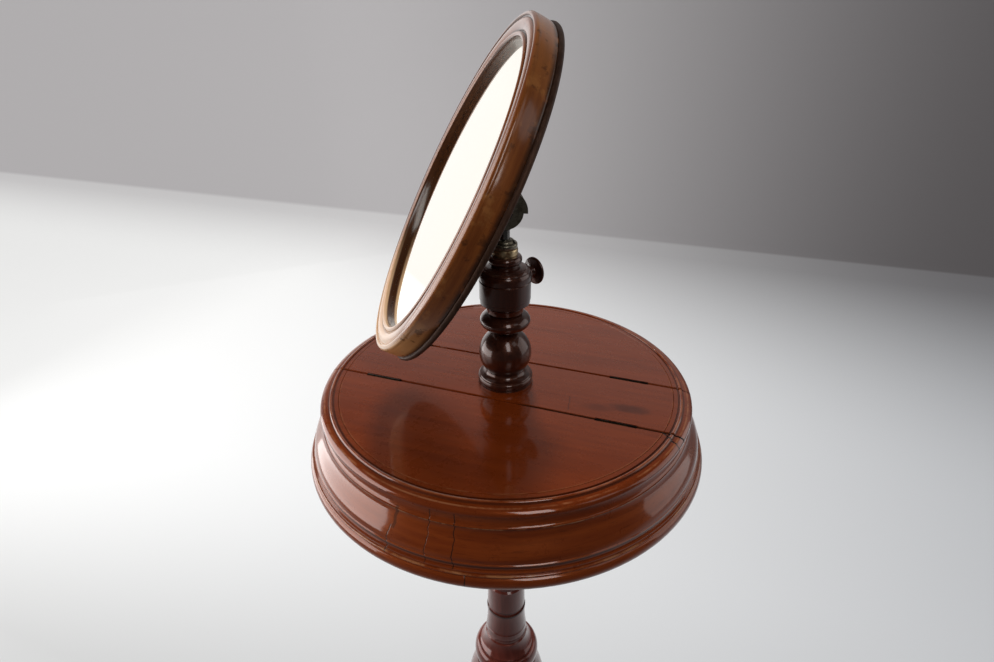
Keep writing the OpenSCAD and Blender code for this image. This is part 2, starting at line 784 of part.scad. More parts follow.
// Mirror: moulded frame, glass in its rebate, glue blocks behind it, and the back board
sight_r = sight_d / 2;
frame_r = sight_r + frame_band;
rebate_r = sight_r + 6;
frame_back = pivot_reach + back_t;
frame_front = frame_back + frame_depth;
glass_front = frame_front - glass_sink;
glass_back = glass_front - glass_t;
module mirror_seat() { mirror_place() translate([mirror_drop, 0, 0]) children(); }

module mirror_frame() {
    cushion_out = frame_r - 5;
    cushion_in = sight_r + 5.2;
    cushion_h = 2.7;
    corner_r = 3.2;
    lip_r = 2;
    color("saddlebrown") difference() {
        mirror_seat() rotate_extrude() polygon(no_repeats(concat(
            [[rebate_r, frame_back], [frame_r - 0.7, frame_back], [frame_r - 0.3, frame_back + 1]],
            bulge(frame_r - 0.3, frame_r, frame_back + 2, frame_front - 4, 6),
            arc(frame_r - corner_r - 0.2, frame_front - corner_r, corner_r, 0, 100, 7),
            [[frame_r - 4.4, frame_front - 1.5]],
            oval([(cushion_out + cushion_in) / 2, frame_front - 2.6],
                (cushion_out - cushion_in) / 2, cushion_h, 20, 160, 12),
            [[sight_r + 4.8, frame_front - 2.6], [sight_r + 4.2, frame_front - 2.2]],
            arc(sight_r + lip_r + 0.1, frame_front - lip_r, lip_r, 10, 180, 8),
            [[sight_r, frame_front - 2.4], [sight_r, glass_front], [rebate_r, glass_front]]
        )));
        back_screw_places() screw_hole(back_screw_r, back_screw_l);
    }
}
module mirror_glass() {
    color("lightblue") mirror_seat() post(rebate_r - seat_gap, glass_back, glass_front);
}
glass_block_w = 24;
glass_block_t = 11;
module glass_blocks() {
    color("burlywood") mirror_seat() for (a = [0 : 45 : 315])
        rotate([0, 0, a + 22.5]) intersection() {
            difference() {
                post(rebate_r - seat_gap, frame_back, glass_back);
                post(rebate_r - glass_block_t, frame_back - 1, glass_back + 1);
            }
            translate([0, -glass_block_w / 2, 0]) cube([rebate_r, glass_block_w, frame_front]);
        }
}
back_screw_r = 1.8;
back_screw_l = back_t + 9;
module back_screw_places() {
    for (a = [0 : 60 : 300])
        mirror_seat() rotate([0, 0, a]) translate([(rebate_r + frame_r) / 2, 0, pivot_reach])
            rotate([180, 0, 0]) children();
}
module back_board() {
    board_r = frame_r + back_lip;
    color([0.24, 0.13, 0.08]) difference() {
        mirror_seat() turned(concat(
            [[board_r - 1.6, pivot_reach]],
            bulge(board_r - 1.4, board_r, pivot_reach + 0.2, frame_back - 0.2, 6),
            [[board_r - 1.6, frame_back]]
        ));
        back_screw_places() screw_hole(back_screw_r, back_screw_l, 1);
        bracket_screw_places() screw_hole(bracket_screw_r, bracket_screw_l);
    }
}
module back_screws() {
    color("dimgray") back_screw_places() screw(back_screw_r, back_screw_l);
}

leg_angles = [-90, 30, 150];

// Pedestal: a plain shaft with grooves, then a rounded moulding, a vase and the leg block
groove_z = top_z - groove_down;
torus_z = top_z - torus_down;
seam_z = torus_z + vase_torus_h / 2;
seam_r = shaft_r + 10.8;
shaft_pin_r = 13;
shaft_pin_l = 40;
shaft_high = drum_low - flange_t;
module pedestal_shaft() {
    step_z = groove_z + 36;
    line_z = groove_z - 37;
    hollow_z = groove_z - 54;
    color([0.25, 0.08, 0.07]) difference() {
        turned(concat(
            [[shaft_pin_r, seam_z - shaft_pin_l], [shaft_pin_r, seam_z], [seam_r, seam_z]],
            [[seam_r, seam_z + 1.5]],
            bend([seam_r - 1, seam_z + 2.4], [shaft_r + 5.6, seam_z + 7],
                [shaft_r + 3.6, seam_z + 13], [shaft_r + 2.8, hollow_z - 1], 7),
            [[shaft_r + 1, hollow_z], [shaft_r + 0.8, hollow_z + 5], [shaft_r + 2.4, hollow_z + 8]],
            [[shaft_r + 1.8, line_z - 0.6], [shaft_r + 1.3, line_z], [shaft_r + 1.7, line_z + 0.6]],
            bend([shaft_r + 1.6, line_z + 1], [shaft_r + 0.4, line_z + 12],
                [shaft_r - 0.2, groove_z - 14], [shaft_r - 0.2, groove_z - 7.4], 6),
            [[shaft_r + 0.6, groove_z - 6.8], [shaft_r + 0.6, groove_z - 2]],
            [[shaft_r - 1.2, groove_z - 1.2], [shaft_r - 1.4, groove_z + 3]],
            [[shaft_r, groove_z + 3.8], [shaft_r - 0.8, step_z - 1]],
            [[shaft_r + 0.6, step_z], [shaft_r + 0.6, step_z + 5], [shaft_r - 1.4, step_z + 7]],
            [[shaft_r - 2.4, shaft_high - 46], [shaft_r - 2.4, shaft_high - 30]],
            bulge(shaft_r - 2, shaft_r + 3, shaft_high - 28, shaft_high - 18, 8),
            [[shaft_r - 2, shaft_high - 17]],
            bend([shaft_r - 2, shaft_high - 14], [shaft_r - 1, shaft_high - 6],
                [shaft_r + 3, shaft_high - 3], [shaft_r + 6, shaft_high - 2], 5),
            [[shaft_r + 6, shaft_high], [shaft_tenon_r, shaft_high]],
            [[shaft_tenon_r, drum_low + shaft_tenon_l]]
        ));
        post(runner_bore_r, rod_low - 8, top_z);
    }
}

block_top = leg_top + 14;
dovetail_l = 13;
module pedestal_base() {
    vase_z = torus_z - 73;
    neck_z2 = torus_z - vase_torus_h / 2 - 1;
    color([0.25, 0.08, 0.07]) difference() {
        turned(concat(
            [[leg_block_r, leg_base], [leg_block_r, block_top]],
            bulge(leg_block_r, leg_block_r + 6, block_top + 1, block_top + 13, 8),
            [[leg_block_r - 1, block_top + 14]],
            bend([leg_block_r - 2, block_top + 16], [stem_r + 2, block_top + 20],
                [stem_r, block_top + 30], [stem_r, block_top + 42], 8),
            bulge(stem_r, stem_r + 6, block_top + 43, block_top + 51, 6),
            [[stem_r + 1, block_top + 52]],
            bend([stem_r + 1, block_top + 56], [stem_r + 4, block_top + 104],
                [vase_r, vase_z - 62], [vase_r, vase_z], 12),
            bend([vase_r, vase_z + 3], [vase_r, vase_z + 30],
                [vase_torus_r + 1, neck_z2 - 14], [vase_torus_r - 2, neck_z2 - 2], 8),
            [[vase_torus_r - 5, neck_z2 - 1], [vase_torus_r - 5, neck_z2]],
            bulge(vase_torus_r - 7, vase_torus_r, neck_z2 + 1, seam_z - 1, 16),
            [[vase_torus_r - 7.2, seam_z]]
        ));
        post(shaft_pin_r + seat_gap / 2, seam_z - shaft_pin_l - 1, seam_z + 1);
        for (a = leg_angles) rotate([0, 0, a]) dovetail(seat_gap / 2);
        for (a = leg_angles) rotate([0, 0, a])
            brace_row(brace_block_rows) screw_hole(brace_screw_r, brace_screw_l);
    }
}

// Dovetail of a leg, let up into the block from below
module dovetail(gap) {
    inner = leg_block_r - dovetail_l;
    translate([0, 0, leg_base - (gap > 0 ? 1 : 0)])
        linear_extrude(leg_top - 24 - leg_base + (gap > 0 ? 1 + gap : 0))
            polygon([[inner - gap, -9 - gap], [inner - gap, 9 + gap],
                     [leg_block_r + 4, 5.5 + gap], [leg_block_r + 4, -5.5 - gap]]);
}

// Cabriole leg: sawn to its side outline, then tapered in plan with a round toe
leg_ankle = leg_reach * 0.72;
module leg_side() {
    knee = leg_reach * 0.5;
    knee_top = 226;
    calf_top = 150;
    calf_low = 104;
    shin = 60;
    instep = 34;
    heel = 12;
    polygon(no_repeats(concat(
        [[leg_block_r - 4, leg_base]],
        bend([leg_block_r + 44, leg_base], [knee + 12, leg_base - 8],
            [leg_ankle - 16, calf_low], [leg_ankle - 4, shin], 8),
        bend([leg_ankle - 4, shin], [leg_ankle + 4, instep],
            [leg_ankle + 8, heel], [leg_ankle + 22, 0], 8),
        bend([leg_reach - 8, 0], [leg_reach, 2], [leg_reach + 2, 18], [leg_reach - 8, 25], 7),
        bend([leg_reach - 10, 26], [leg_ankle + 22, 38], [leg_ankle + 12, 90], [leg_ankle - 4, calf_top], 9),
        bend([leg_ankle - 4, calf_top], [leg_ankle - 22, knee_top], [knee - 4, leg_top + 2],
            [leg_block_r - 4, leg_top], 10)
    )));
}
module leg_plan() {
    knee = leg_reach * 0.5;
    toe = leg_reach - foot_t / 2;
    ankle_t = foot_t - 2;
    polygon([[0, -leg_t / 2], [knee, -leg_t / 2], [leg_ankle, -ankle_t / 2], [toe, -foot_t / 2],
             [toe, foot_t / 2], [leg_ankle, ankle_t / 2], [knee, leg_t / 2], [0, leg_t / 2]]);
    translate([toe, 0]) circle(r = foot_t / 2);
}
module leg(angle) {
    color([0.27, 0.09, 0.06]) rotate([0, 0, angle]) union() {
        difference() {
            intersection() {
                rotate([90, 0, 0]) translate([0, 0, -leg_t]) linear_extrude(2 * leg_t) leg_side();
                linear_extrude(leg_top + 1) leg_plan();
            }
            post(leg_block_r + seat_gap / 2, leg_base - 1, leg_top + 2);
            brace_row(brace_leg_rows) screw_hole(brace_screw_r, brace_screw_l);
        }
        intersection() {
            dovetail(0);
            post(leg_block_r + 3, leg_base, leg_top);
        }
    }
}
module leg_front() { leg(leg_angles[0]); }
module leg_right() { leg(leg_angles[1]); }
module leg_left() { leg(leg_angles[2]); }

// Iron plate under the block, with an arm and screws for each leg
brace_screw_r = 2;
brace_screw_l = 20;
brace_hub_r = 30;
brace_arm_w = 22;
brace_arm_l = leg_block_r + 26;
brace_block_rows = [16];
brace_leg_rows = [leg_block_r + 10, leg_block_r + 28];
module brace_row(at) {
    for (r = at) translate([r, 0, leg_base - brace_t]) rotate([180, 0, 0]) children();
}
module brace_screw_places() {
    for (a = leg_angles) rotate([0, 0, a]) brace_row(concat(brace_block_rows, brace_leg_rows)) children();
}
module brace_plate() {
    color([0.12, 0.12, 0.12]) difference() {
        translate([0, 0, leg_base - brace_t]) linear_extrude(brace_t) {
            circle(r = brace_hub_r);
            for (a = leg_angles) rotate(a) {
                translate([0, -brace_arm_w / 2]) square([brace_arm_l, brace_arm_w]);
                translate([brace_arm_l, 0]) circle(r = brace_arm_w / 2);
            }
        }
        brace_screw_places() screw_hole(brace_screw_r, brace_screw_l, 1);
    }
}
module brace_screws() {
    color("dimgray") brace_screw_places() screw(brace_screw_r, brace_screw_l);
}

module strip_hinge_leaves_front() { hinge_leaves(-1, 1, 0); }
module strip_hinge_leaves_rear() { hinge_leaves(1, -1, 0); }
module front_lid_hinge_leaves() { hinge_leaves(-1, -1, 1); }
module rear_lid_hinge_leaves() { hinge_leaves(1, 1, 1); }
module hinge_pins_front() { hinge_pins(-1); }
module hinge_pins_rear() { hinge_pins(1); }
module front_lid_screws() { lid_screws(-1); }
module rear_lid_screws() { lid_screws(1); }

pedestal_base();
pedestal_shaft();
leg_front();
leg_right();
leg_left();
brace_plate();
brace_screws();
drum_flange();
flange_screws();
drum_bottom();
bottom_screws();
base_moulding();
drum_rim();
front_partition();
rear_partition();
centre_block();
centre_strip();
strip_hinge_leaves_front();
strip_hinge_leaves_rear();
hinge_pins_front();
hinge_pins_rear();
strip_hinge_screws();
front_lid();
front_lid_hinge_leaves();
front_lid_screws();
rear_lid();
rear_lid_hinge_leaves();
rear_lid_screws();
pillar();
brass_ring();
collar();
collar_screws();
clamp_boss();
clamp_nut();
clamp_shoe();
clamp_screw();
clamp_knob();
rod_runner();
rod();
rod_end_screw();
pivot_screw();
pivot_nut();
pivot_washers();
mirror_bracket();
bracket_screws();
mirror_frame();
mirror_glass();
glass_blocks();
back_board();
back_screws();
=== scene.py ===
"""Finishes for a gentleman's shaving stand: polished mahogany, dark turned wood, brass, steel and silvered glass."""

import json
import math

import bpy
from mathutils import Matrix, Vector


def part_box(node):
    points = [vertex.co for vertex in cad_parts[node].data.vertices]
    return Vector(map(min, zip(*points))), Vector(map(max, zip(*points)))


bl_info = {
    "name": "Shaving Stand Finishes",
    "version": (1, 0, 0),
    "blender": (4, 5, 0),
    "location": "3D View > Sidebar > Shaving Stand",
    "description": "Gives each piece of a shaving stand its wood, metal or glass, and sets it in a plain studio",
    "category": "Object",
}

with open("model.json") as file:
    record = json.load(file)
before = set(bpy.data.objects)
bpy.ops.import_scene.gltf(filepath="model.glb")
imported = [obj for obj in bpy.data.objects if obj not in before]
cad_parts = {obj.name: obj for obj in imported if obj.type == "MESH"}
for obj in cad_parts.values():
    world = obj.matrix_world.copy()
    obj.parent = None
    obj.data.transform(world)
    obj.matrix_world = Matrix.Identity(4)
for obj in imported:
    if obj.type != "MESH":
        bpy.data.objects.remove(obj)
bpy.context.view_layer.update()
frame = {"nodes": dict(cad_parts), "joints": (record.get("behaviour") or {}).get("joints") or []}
NODES = frame["nodes"]

# The mirror's own directions: out of the glass, down its face, and along the tilt axis
JOINTS = {joint["name"]: joint for joint in frame["joints"]}
TILT_AXIS = Vector(JOINTS["mirror_tilt"]["axis"]).normalized()
PIVOT = Vector(JOINTS["mirror_tilt"]["pos_m"])
MIRROR_TILT = math.radians(28.6)
LEVEL_OUT = Vector((0, 0, 1)).cross(TILT_AXIS).normalized()
MIRROR_OUT = (LEVEL_OUT * math.cos(MIRROR_TILT) + Vector((0, 0, 1)) * math.sin(MIRROR_TILT)).normalized()
MIRROR_DOWN = MIRROR_OUT.cross(TILT_AXIS).normalized()

# Sizes in millimetres of the mirror, from the tilt axis: the drop of its centre, and its front face and radii
MIRROR_DROP = 3
FRAME_FRONT = 57.5
FRAME_RADIUS = 150.5
SIGHT_RADIUS = 129.5

# The height of the lids' flat top and their radius in millimetres, read from the pieces. The pillar's tenon reaches
# below that top by its own length
TENON_LENGTH = 34
LID_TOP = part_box("pillar")[0].z * 1000 + TENON_LENGTH
LID_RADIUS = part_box("centre_strip")[1].x * 1000

# Places in millimetres that dirt and wear follow: the distance of the joints between lids and strip from the axis, the
# inset of the bead from the lids' edge, and the drops from the lids' top to the line just below the cove, the ogee and
# the fillets, and to the middle of the shaft's pair of grooves
JOINT_Y = 37.5
BEAD_INSET = 10.5
COVE_DROP = 20.6
OGEE_DROP = 48.4
FILLET_DROP = 55.0
GROOVE_DROP = 338

# Radii in millimetres at which the grain runs round the drum's mouldings and the mirror's frame at its true length
DRUM_GRAIN_RADIUS = 195
FRAME_GRAIN_RADIUS = 146

# Bands of a turned face are joined where they lie this close, in metres, and shaded smooth over edges up to this angle
JOIN_DISTANCE = 0.000004
SOFT_EDGE = math.radians(34)

# The camera that took the photograph, in metres and degrees
CAMERA_PLACE = (0.17184, -0.49551, 1.3208)
CAMERA_PAN, CAMERA_TILT, CAMERA_ROLL = 20.0, 61.43, -0.64
LENS_MM, SENSOR_MM = 22.165, 36

# The painted board reaches this far towards the front, to each side and up, in metres
BOARD_FRONT, BOARD_SIDE, BOARD_TOP = -6.0, 10.0, 6.0


def to_linear(hex_text):
    """An sRGB hex colour as linear red, green, blue and alpha."""
    channels = [int(hex_text[i : i + 2], 16) / 255 for i in (0, 2, 4)]
    return [c / 12.92 if c <= 0.04045 else ((c + 0.055) / 1.055) ** 2.4 for c in channels] + [1.0]


def add(tree, kind, settings=None, links=None):
    """Adds a node with its settings and links. A link comes from a socket, a node's first output or a plain value.
    A number names an input by its place: a Map Range reads from 1 to 2 and gives 3 to 4, and a Mix blends 6 into 7."""
    node = tree.nodes.new(kind)
    for name, value in (settings or {}).items():
        if isinstance(name, int) or name in node.inputs:
            node.inputs[name].default_value = value
        else:
            setattr(node, name, value)
    for name, source in (links or {}).items():
        if isinstance(source, bpy.types.Node):
            source = source.outputs[0]
        if isinstance(source, bpy.types.NodeSocket):
            tree.links.new(source, node.inputs[name])
        else:
            node.inputs[name].default_value = source
    return node


# ---------------------------------------------------------------- patterns


def rest_place(tree):
    """Where a point of the piece is at rest: the vector in millimetres, and its X, Y and Z."""
    metres = add(tree, "ShaderNodeTexCoord").outputs["Object"]
    place = add(tree, "ShaderNodeVectorMath", {"operation": "SCALE", "Scale": 1000.0}, {0: metres}).outputs[0]
    split = add(tree, "ShaderNodeSeparateXYZ", links={0: place})
    return place, split.outputs[0], split.outputs[1], split.outputs[2]


def distance_from_axis(tree, place):
    """Distance of a point from the stand's upright axis, in millimetres."""
    flat = add(tree, "ShaderNodeVectorMath", {"operation": "MULTIPLY", 1: (1, 1, 0)}, {0: place})
    return add(tree, "ShaderNodeVectorMath", {"operation": "LENGTH"}, {0: flat}).outputs["Value"]


def near(tree, value, centre, half_width, soft):
    """1 where the value lies within half_width of the centre, fading out over the soft width."""
    off = add(tree, "ShaderNodeMath", {"operation": "SUBTRACT", 1: centre}, {0: value})
    away = add(tree, "ShaderNodeMath", {"operation": "ABSOLUTE"}, {0: off})
    fade = {"interpolation_type": "SMOOTHSTEP", 1: half_width + soft, 2: half_width}
    return add(tree, "ShaderNodeMapRange", fade, {0: away}).outputs[0]


def along_board(tree, direction):
    """Grain coordinates of a straight piece: the first runs along the grain. direction is 'X' or 'Z'."""
    x, y, z = rest_place(tree)[1:]
    order = {"X": (x, y, z), "Z": (z, x, y)}[direction]
    vector = add(tree, "ShaderNodeCombineXYZ", links={0: order[0], 1: order[1], 2: order[2]})
    return vector.outputs[0], None


def round_ring(tree, radius):
    """Grain coordinates that run round the upright axis without a seam, and the distance from it."""
    place, _, _, z = rest_place(tree)
    flat = add(tree, "ShaderNodeVectorMath", {"operation": "MULTIPLY", 1: (1, 1, 0)}, {0: place})
    unit = add(tree, "ShaderNodeVectorMath", {"operation": "NORMALIZE"}, {0: flat})
    ring = add(tree, "ShaderNodeVectorMath", {"operation": "SCALE", "Scale": radius}, {0: unit})
    split = add(tree, "ShaderNodeSeparateXYZ", links={0: ring})
    vector = add(tree, "ShaderNodeCombineXYZ", links={0: split.outputs[0], 1: split.outputs[1], 2: z})
    return vector.outputs[0], distance_from_axis(tree, place)


def mirror_place(tree):
    """Place on the mirror in millimetres: how far out of the glass, where on its face, and how far from its centre."""
    place = rest_place(tree)[0]
    from_pivot = add(tree, "ShaderNodeVectorMath", {"operation": "SUBTRACT", 1: PIVOT * 1000}, {0: place})
    out, down, side = (
        add(tree, "ShaderNodeVectorMath", {"operation": "DOT_PRODUCT", 1: way}, {0: from_pivot}).outputs["Value"]
        for way in (MIRROR_OUT, MIRROR_DOWN, TILT_AXIS)
    )
    below = add(tree, "ShaderNodeMath", {"operation": "SUBTRACT", 1: MIRROR_DROP}, {0: down})
    face = add(tree, "ShaderNodeCombineXYZ", links={0: below, 1: side})
    radius = add(tree, "ShaderNodeVectorMath", {"operation": "LENGTH"}, {0: face}).outputs["Value"]
    return out, face, radius


def round_mirror(tree, radius):
    """Grain coordinates that run round the mirror's frame without a seam, and the distance from its centre."""
    out, face, distance = mirror_place(tree)
    unit = add(tree, "ShaderNodeVectorMath", {"operation": "NORMALIZE"}, {0: face})
    ring = add(tree, "ShaderNodeVectorMath", {"operation": "SCALE", "Scale": radius}, {0: unit})
    split = add(tree, "ShaderNodeSeparateXYZ", links={0: ring})
    vector = add(tree, "ShaderNodeCombineXYZ", links={0: split.outputs[0], 1: split.outputs[1], 2: out})
    return vector.outputs[0], distance


def streaks(tree, grain, long_mm, wide_mm, seed, low, high, detail=2.0):
    """Noise drawn out along the grain: each streak is about long_mm by wide_mm. It goes from 0 at low to 1 at high.
    grain is the coordinates and, for a ring, the distance from its centre, which is None for a straight piece."""
    vector, depth = grain
    scale = (1 / long_mm, 1 / (wide_mm if depth is None else long_mm), 1 / wide_mm)
    stretched = add(tree, "ShaderNodeVectorMath", {"operation": "MULTIPLY", 1: scale}, {0: vector})
    deep = seed
    if depth is not None:
        deep = add(tree, "ShaderNodeMath", {"operation": "MULTIPLY_ADD", 1: 1 / wide_mm, 2: seed}, {0: depth})
    settings = {"noise_dimensions": "4D", "Scale": 1.0, "Detail": detail, "Roughness": 0.55}
    noise = add(tree, "ShaderNodeTexNoise", settings, {"Vector": stretched, "W": deep})
    return add(tree, "ShaderNodeMapRange", {"interpolation_type": "SMOOTHSTEP", 1: low, 2: high}, {0: noise}).outputs[0]


def patches(tree, size_mm, low, high):
    """Cloudy patches of about size_mm. They go from 0 where the noise is low to 1 where it is high."""
    settings = {"Scale": 1 / size_mm, "Detail": 4.0, "Roughness": 0.62}
    noise = add(tree, "ShaderNodeTexNoise", settings, {"Vector": rest_place(tree)[0]})
    return add(tree, "ShaderNodeMapRange", {"interpolation_type": "SMOOTHSTEP", 1: low, 2: high}, {0: noise}).outputs[0]


def upright_crack(tree, angle_deg, lean, low_z, high_z, half_width):
    """Masks of a wandering line up the drum's side at an angle round the axis. It leans by lean mm for each mm down."""
    place, _, _, z = rest_place(tree)
    a = math.radians(angle_deg)
    tangent, outward = (-math.sin(a), math.cos(a), lean), (math.cos(a), math.sin(a), 0)
    across = add(tree, "ShaderNodeVectorMath", {"operation": "DOT_PRODUCT", 1: tangent}, {0: place})
    facing = add(tree, "ShaderNodeVectorMath", {"operation": "DOT_PRODUCT", 1: outward}, {0: place})
    wander = add(tree, "ShaderNodeTexNoise", {"noise_dimensions": "1D", "Scale": 0.09, "Detail": 3.0}, {"W": z})
    line = add(tree, "ShaderNodeMath", {"operation": "MULTIPLY_ADD", 1: 5.0}, {0: wander, 2: across.outputs["Value"]})
    front = add(tree, "ShaderNodeMath", {"operation": "GREATER_THAN", 1: 0.0}, {0: facing.outputs["Value"]})
    return [
        near(tree, line.outputs[0], lean * high_z + 2.5, half_width, 0.35),
        near(tree, z, (low_z + high_z) / 2, (high_z - low_z) / 2, 1.0),
        front.outputs[0],
    ]


def flat_crack(tree, start, end, half_width, ragged):
    """Masks of a thin line between two places on the lids' top, in millimetres. It strays by ragged to either side."""
    place = rest_place(tree)[0]
    middle = ((start[0] + end[0]) / 2, (start[1] + end[1]) / 2, 0)
    length = math.dist(start, end)
    along = ((end[0] - start[0]) / length, (end[1] - start[1]) / length, 0)
    moved = add(tree, "ShaderNodeVectorMath", {"operation": "SUBTRACT", 1: middle}, {0: place})
    run = add(tree, "ShaderNodeVectorMath", {"operation": "DOT_PRODUCT", 1: along}, {0: moved})
    side = add(tree, "ShaderNodeVectorMath", {"operation": "DOT_PRODUCT", 1: (-along[1], along[0], 0)}, {0: moved})
    run, side = run.outputs["Value"], side.outputs["Value"]
    stray = add(tree, "ShaderNodeTexNoise", {"noise_dimensions": "1D", "Scale": 0.35, "Detail": 3.0}, {"W": run})
    line = add(tree, "ShaderNodeMath", {"operation": "MULTIPLY_ADD", 1: 2 * ragged}, {0: stray, 2: side})
    return [
        near(tree, line.outputs[0], ragged, half_width, 0.4),
        near(tree, run, 0.0, length / 2, 1.0),
    ]


def stain(tree, centre, long_mm, wide_mm, uneven):
    """Mask of a soft-edged patch on the lids' top round a place in millimetres."""
    place = rest_place(tree)[0]
    moved = add(tree, "ShaderNodeVectorMath", {"operation": "SUBTRACT", 1: (*centre, 0)}, {0: place})
    flat = add(tree, "ShaderNodeVectorMath", {"operation": "MULTIPLY", 1: (1 / long_mm, 1 / wide_mm, 0)}, {0: moved})
    away = add(tree, "ShaderNodeVectorMath", {"operation": "LENGTH"}, {0: flat})
    wave = add(tree, "ShaderNodeTexNoise", {"Scale": 0.09, "Detail": 4.0, "Roughness": 0.7}, {"Vector": place})
    edge = add(tree, "ShaderNodeMath", {"operation": "MULTIPLY_ADD", 1: uneven}, {0: wave, 2: away.outputs["Value"]})
    fade = {"interpolation_type": "SMOOTHSTEP", 1: 1 + uneven / 2, 2: 0.3 + uneven / 2}
    return add(tree, "ShaderNodeMapRange", fade, {0: edge}).outputs[0]


# ---------------------------------------------------------------- finishes


def start(name):
    """An empty material with its surface shader and output."""
    material = bpy.data.materials.new(name)
    material.use_nodes = True
    tree = material.node_tree
    tree.nodes.clear()
    surface = add(tree, "ShaderNodeBsdfPrincipled")
    add(tree, "ShaderNodeOutputMaterial", links={"Surface": surface})
    return material, tree, surface


def wood(name, grain_of, tones, polish, marks=None, coarse=1.0, pores=0.35, seed=0.0):
    """Wood with its polish. grain_of gives the grain's coordinates, and tones are the dark, middle and light colours.
    polish is the clear coat's weight and roughness and the level of the sheen below it. marks gives the dirt, wear,
    cracks, painted shade and painted highlights, each as its masks, hex colour, share and depth in mm. coarse scales
    the grain, pores is the share of dark pores, and seed moves the pattern."""
    material, tree, surface = start(name)
    grain = grain_of(tree)
    dark, middle, light = tones
    place = rest_place(tree)[0]

    # Broad figure over 17 cm, ribbons 5.5 mm wide, and dark pores of 11 x 1 mm, drawn coarser than the real 0.2 mm.
    # Each layer has a seed of its own, so that they don't line up
    figure = streaks(tree, grain, 170 * coarse, 34 * coarse, seed + 1.3, 0.3, 0.7)
    ribbon = streaks(tree, grain, 90 * coarse, 5.5 * coarse, seed + 4.7, 0.3, 0.72, 3.0)
    pore = streaks(tree, grain, 11 * coarse, 1.0 * coarse, seed + 9.1, 0.58, 0.72, 1.0)
    colour = add(tree, "ShaderNodeMix", {"data_type": "RGBA"}, {0: figure, 6: dark, 7: middle}).outputs[2]
    share = add(tree, "ShaderNodeMath", {"operation": "MULTIPLY", 1: 0.6}, {0: ribbon})
    colour = add(tree, "ShaderNodeMix", {"data_type": "RGBA"}, {0: share, 6: colour, 7: light}).outputs[2]
    share = add(tree, "ShaderNodeMath", {"operation": "MULTIPLY", 1: pores}, {0: pore})
    filled = [channel * 0.35 for channel in dark[:3]] + [1.0]
    colour = add(tree, "ShaderNodeMix", {"data_type": "RGBA"}, {0: share, 6: colour, 7: filled}).outputs[2]

    # Hand polish is never quite flat: the gloss ripples slowly and carries fine rubbed haze. Heights are in millimetres
    ripple = add(tree, "ShaderNodeTexNoise", {"Scale": 0.02, "Detail": 1.5, "Roughness": 0.45}, {"Vector": place})
    height = add(tree, "ShaderNodeMath", {"operation": "MULTIPLY", 1: 0.35}, {0: ripple})
    haze = add(tree, "ShaderNodeTexNoise", {"Scale": 0.05, "Detail": 5.0, "Roughness": 0.7}, {"Vector": place})
    rough = add(tree, "ShaderNodeMapRange", {1: 0.3, 2: 0.75, 3: polish[1] + 0.16, 4: polish[1] + 0.28}, {0: haze})

    for masks, tone, weight, depth in marks(tree) if marks else ():
        mask = weight
        for part in masks:
            mask = add(tree, "ShaderNodeMath", {"operation": "MULTIPLY"}, {0: part, 1: mask})
        colour = add(tree, "ShaderNodeMix", {"data_type": "RGBA"}, {0: mask, 6: colour, 7: to_linear(tone)}).outputs[2]
        height = add(tree, "ShaderNodeMath", {"operation": "MULTIPLY_ADD", 1: -depth}, {0: mask, 2: height})
        rough = add(tree, "ShaderNodeMath", {"operation": "MULTIPLY_ADD", 1: 0.3}, {0: mask, 2: rough})

    bump = add(tree, "ShaderNodeBump", {"Strength": 0.6, "Distance": 0.001}, {"Height": height})
    tree.links.new(colour, surface.inputs["Base Color"])
    tree.links.new(rough.outputs[0], surface.inputs["Roughness"])
    tree.links.new(bump.outputs[0], surface.inputs["Normal"])
    surface.inputs["IOR"].default_value = 1.5
    # Under the polish the wood's fibres give a soft sheen of the wood's own colour
    surface.inputs["Specular IOR Level"].default_value = polish[2]
    surface.inputs["Specular Tint"].default_value = [(channel / light[0]) ** 0.8 for channel in light[:3]] + [1.0]
    surface.inputs["Coat Weight"].default_value = polish[0]
    surface.inputs["Coat Roughness"].default_value = polish[1]
    surface.inputs["Coat IOR"].default_value = 1.52
    tree.links.new(bump.outputs[0], surface.inputs["Coat Normal"])
    return material


def metal(name, clean, tarnished, rough, patch_mm, scratch=None, tarnish=(0.4, 0.65)):
    """Bare metal. clean and tarnished are colours, rough is the roughness of each, patch_mm the size of the
    tarnished patches, and scratch the direction that it was turned or rubbed in: 'round', 'up' or None."""
    material, tree, surface = start(name)
    place = rest_place(tree)[0]
    old = patches(tree, patch_mm, *tarnish)
    # Tool lines 0.6 mm apart, round the work or along it, or a cast skin of 1.5 mm grains
    lengths = {"round": (0.02, 0.02, 1.6), "up": (1.6, 1.6, 0.03)}.get(scratch, (0.7, 0.7, 0.7))
    drawn = add(tree, "ShaderNodeVectorMath", {"operation": "MULTIPLY", 1: lengths}, {0: place})
    lines = add(tree, "ShaderNodeTexNoise", {"Scale": 1.0, "Detail": 3.0, "Roughness": 0.7}, {"Vector": drawn})
    shade = add(tree, "ShaderNodeMapRange", {1: 0.3, 2: 0.7, 3: 0.8, 4: 1.1}, {0: lines})
    colour = add(tree, "ShaderNodeMix", {"data_type": "RGBA"}, {0: old, 6: clean, 7: tarnished}).outputs[2]
    tinted = add(tree, "ShaderNodeVectorMath", {"operation": "SCALE"}, {0: colour, "Scale": shade})
    height = add(tree, "ShaderNodeMath", {"operation": "MULTIPLY_ADD", 1: 0.4}, {0: old, 2: lines})
    bump = add(tree, "ShaderNodeBump", {"Strength": 0.25, "Distance": 0.0002}, {"Height": height})
    roughness = add(tree, "ShaderNodeMapRange", {3: rough[0], 4: rough[1]}, {0: old})
    surface.inputs["Metallic"].default_value = 1.0
    tree.links.new(tinted.outputs[0], surface.inputs["Base Color"])
    tree.links.new(roughness.outputs[0], surface.inputs["Roughness"])
    tree.links.new(bump.outputs[0], surface.inputs["Normal"])
    return material


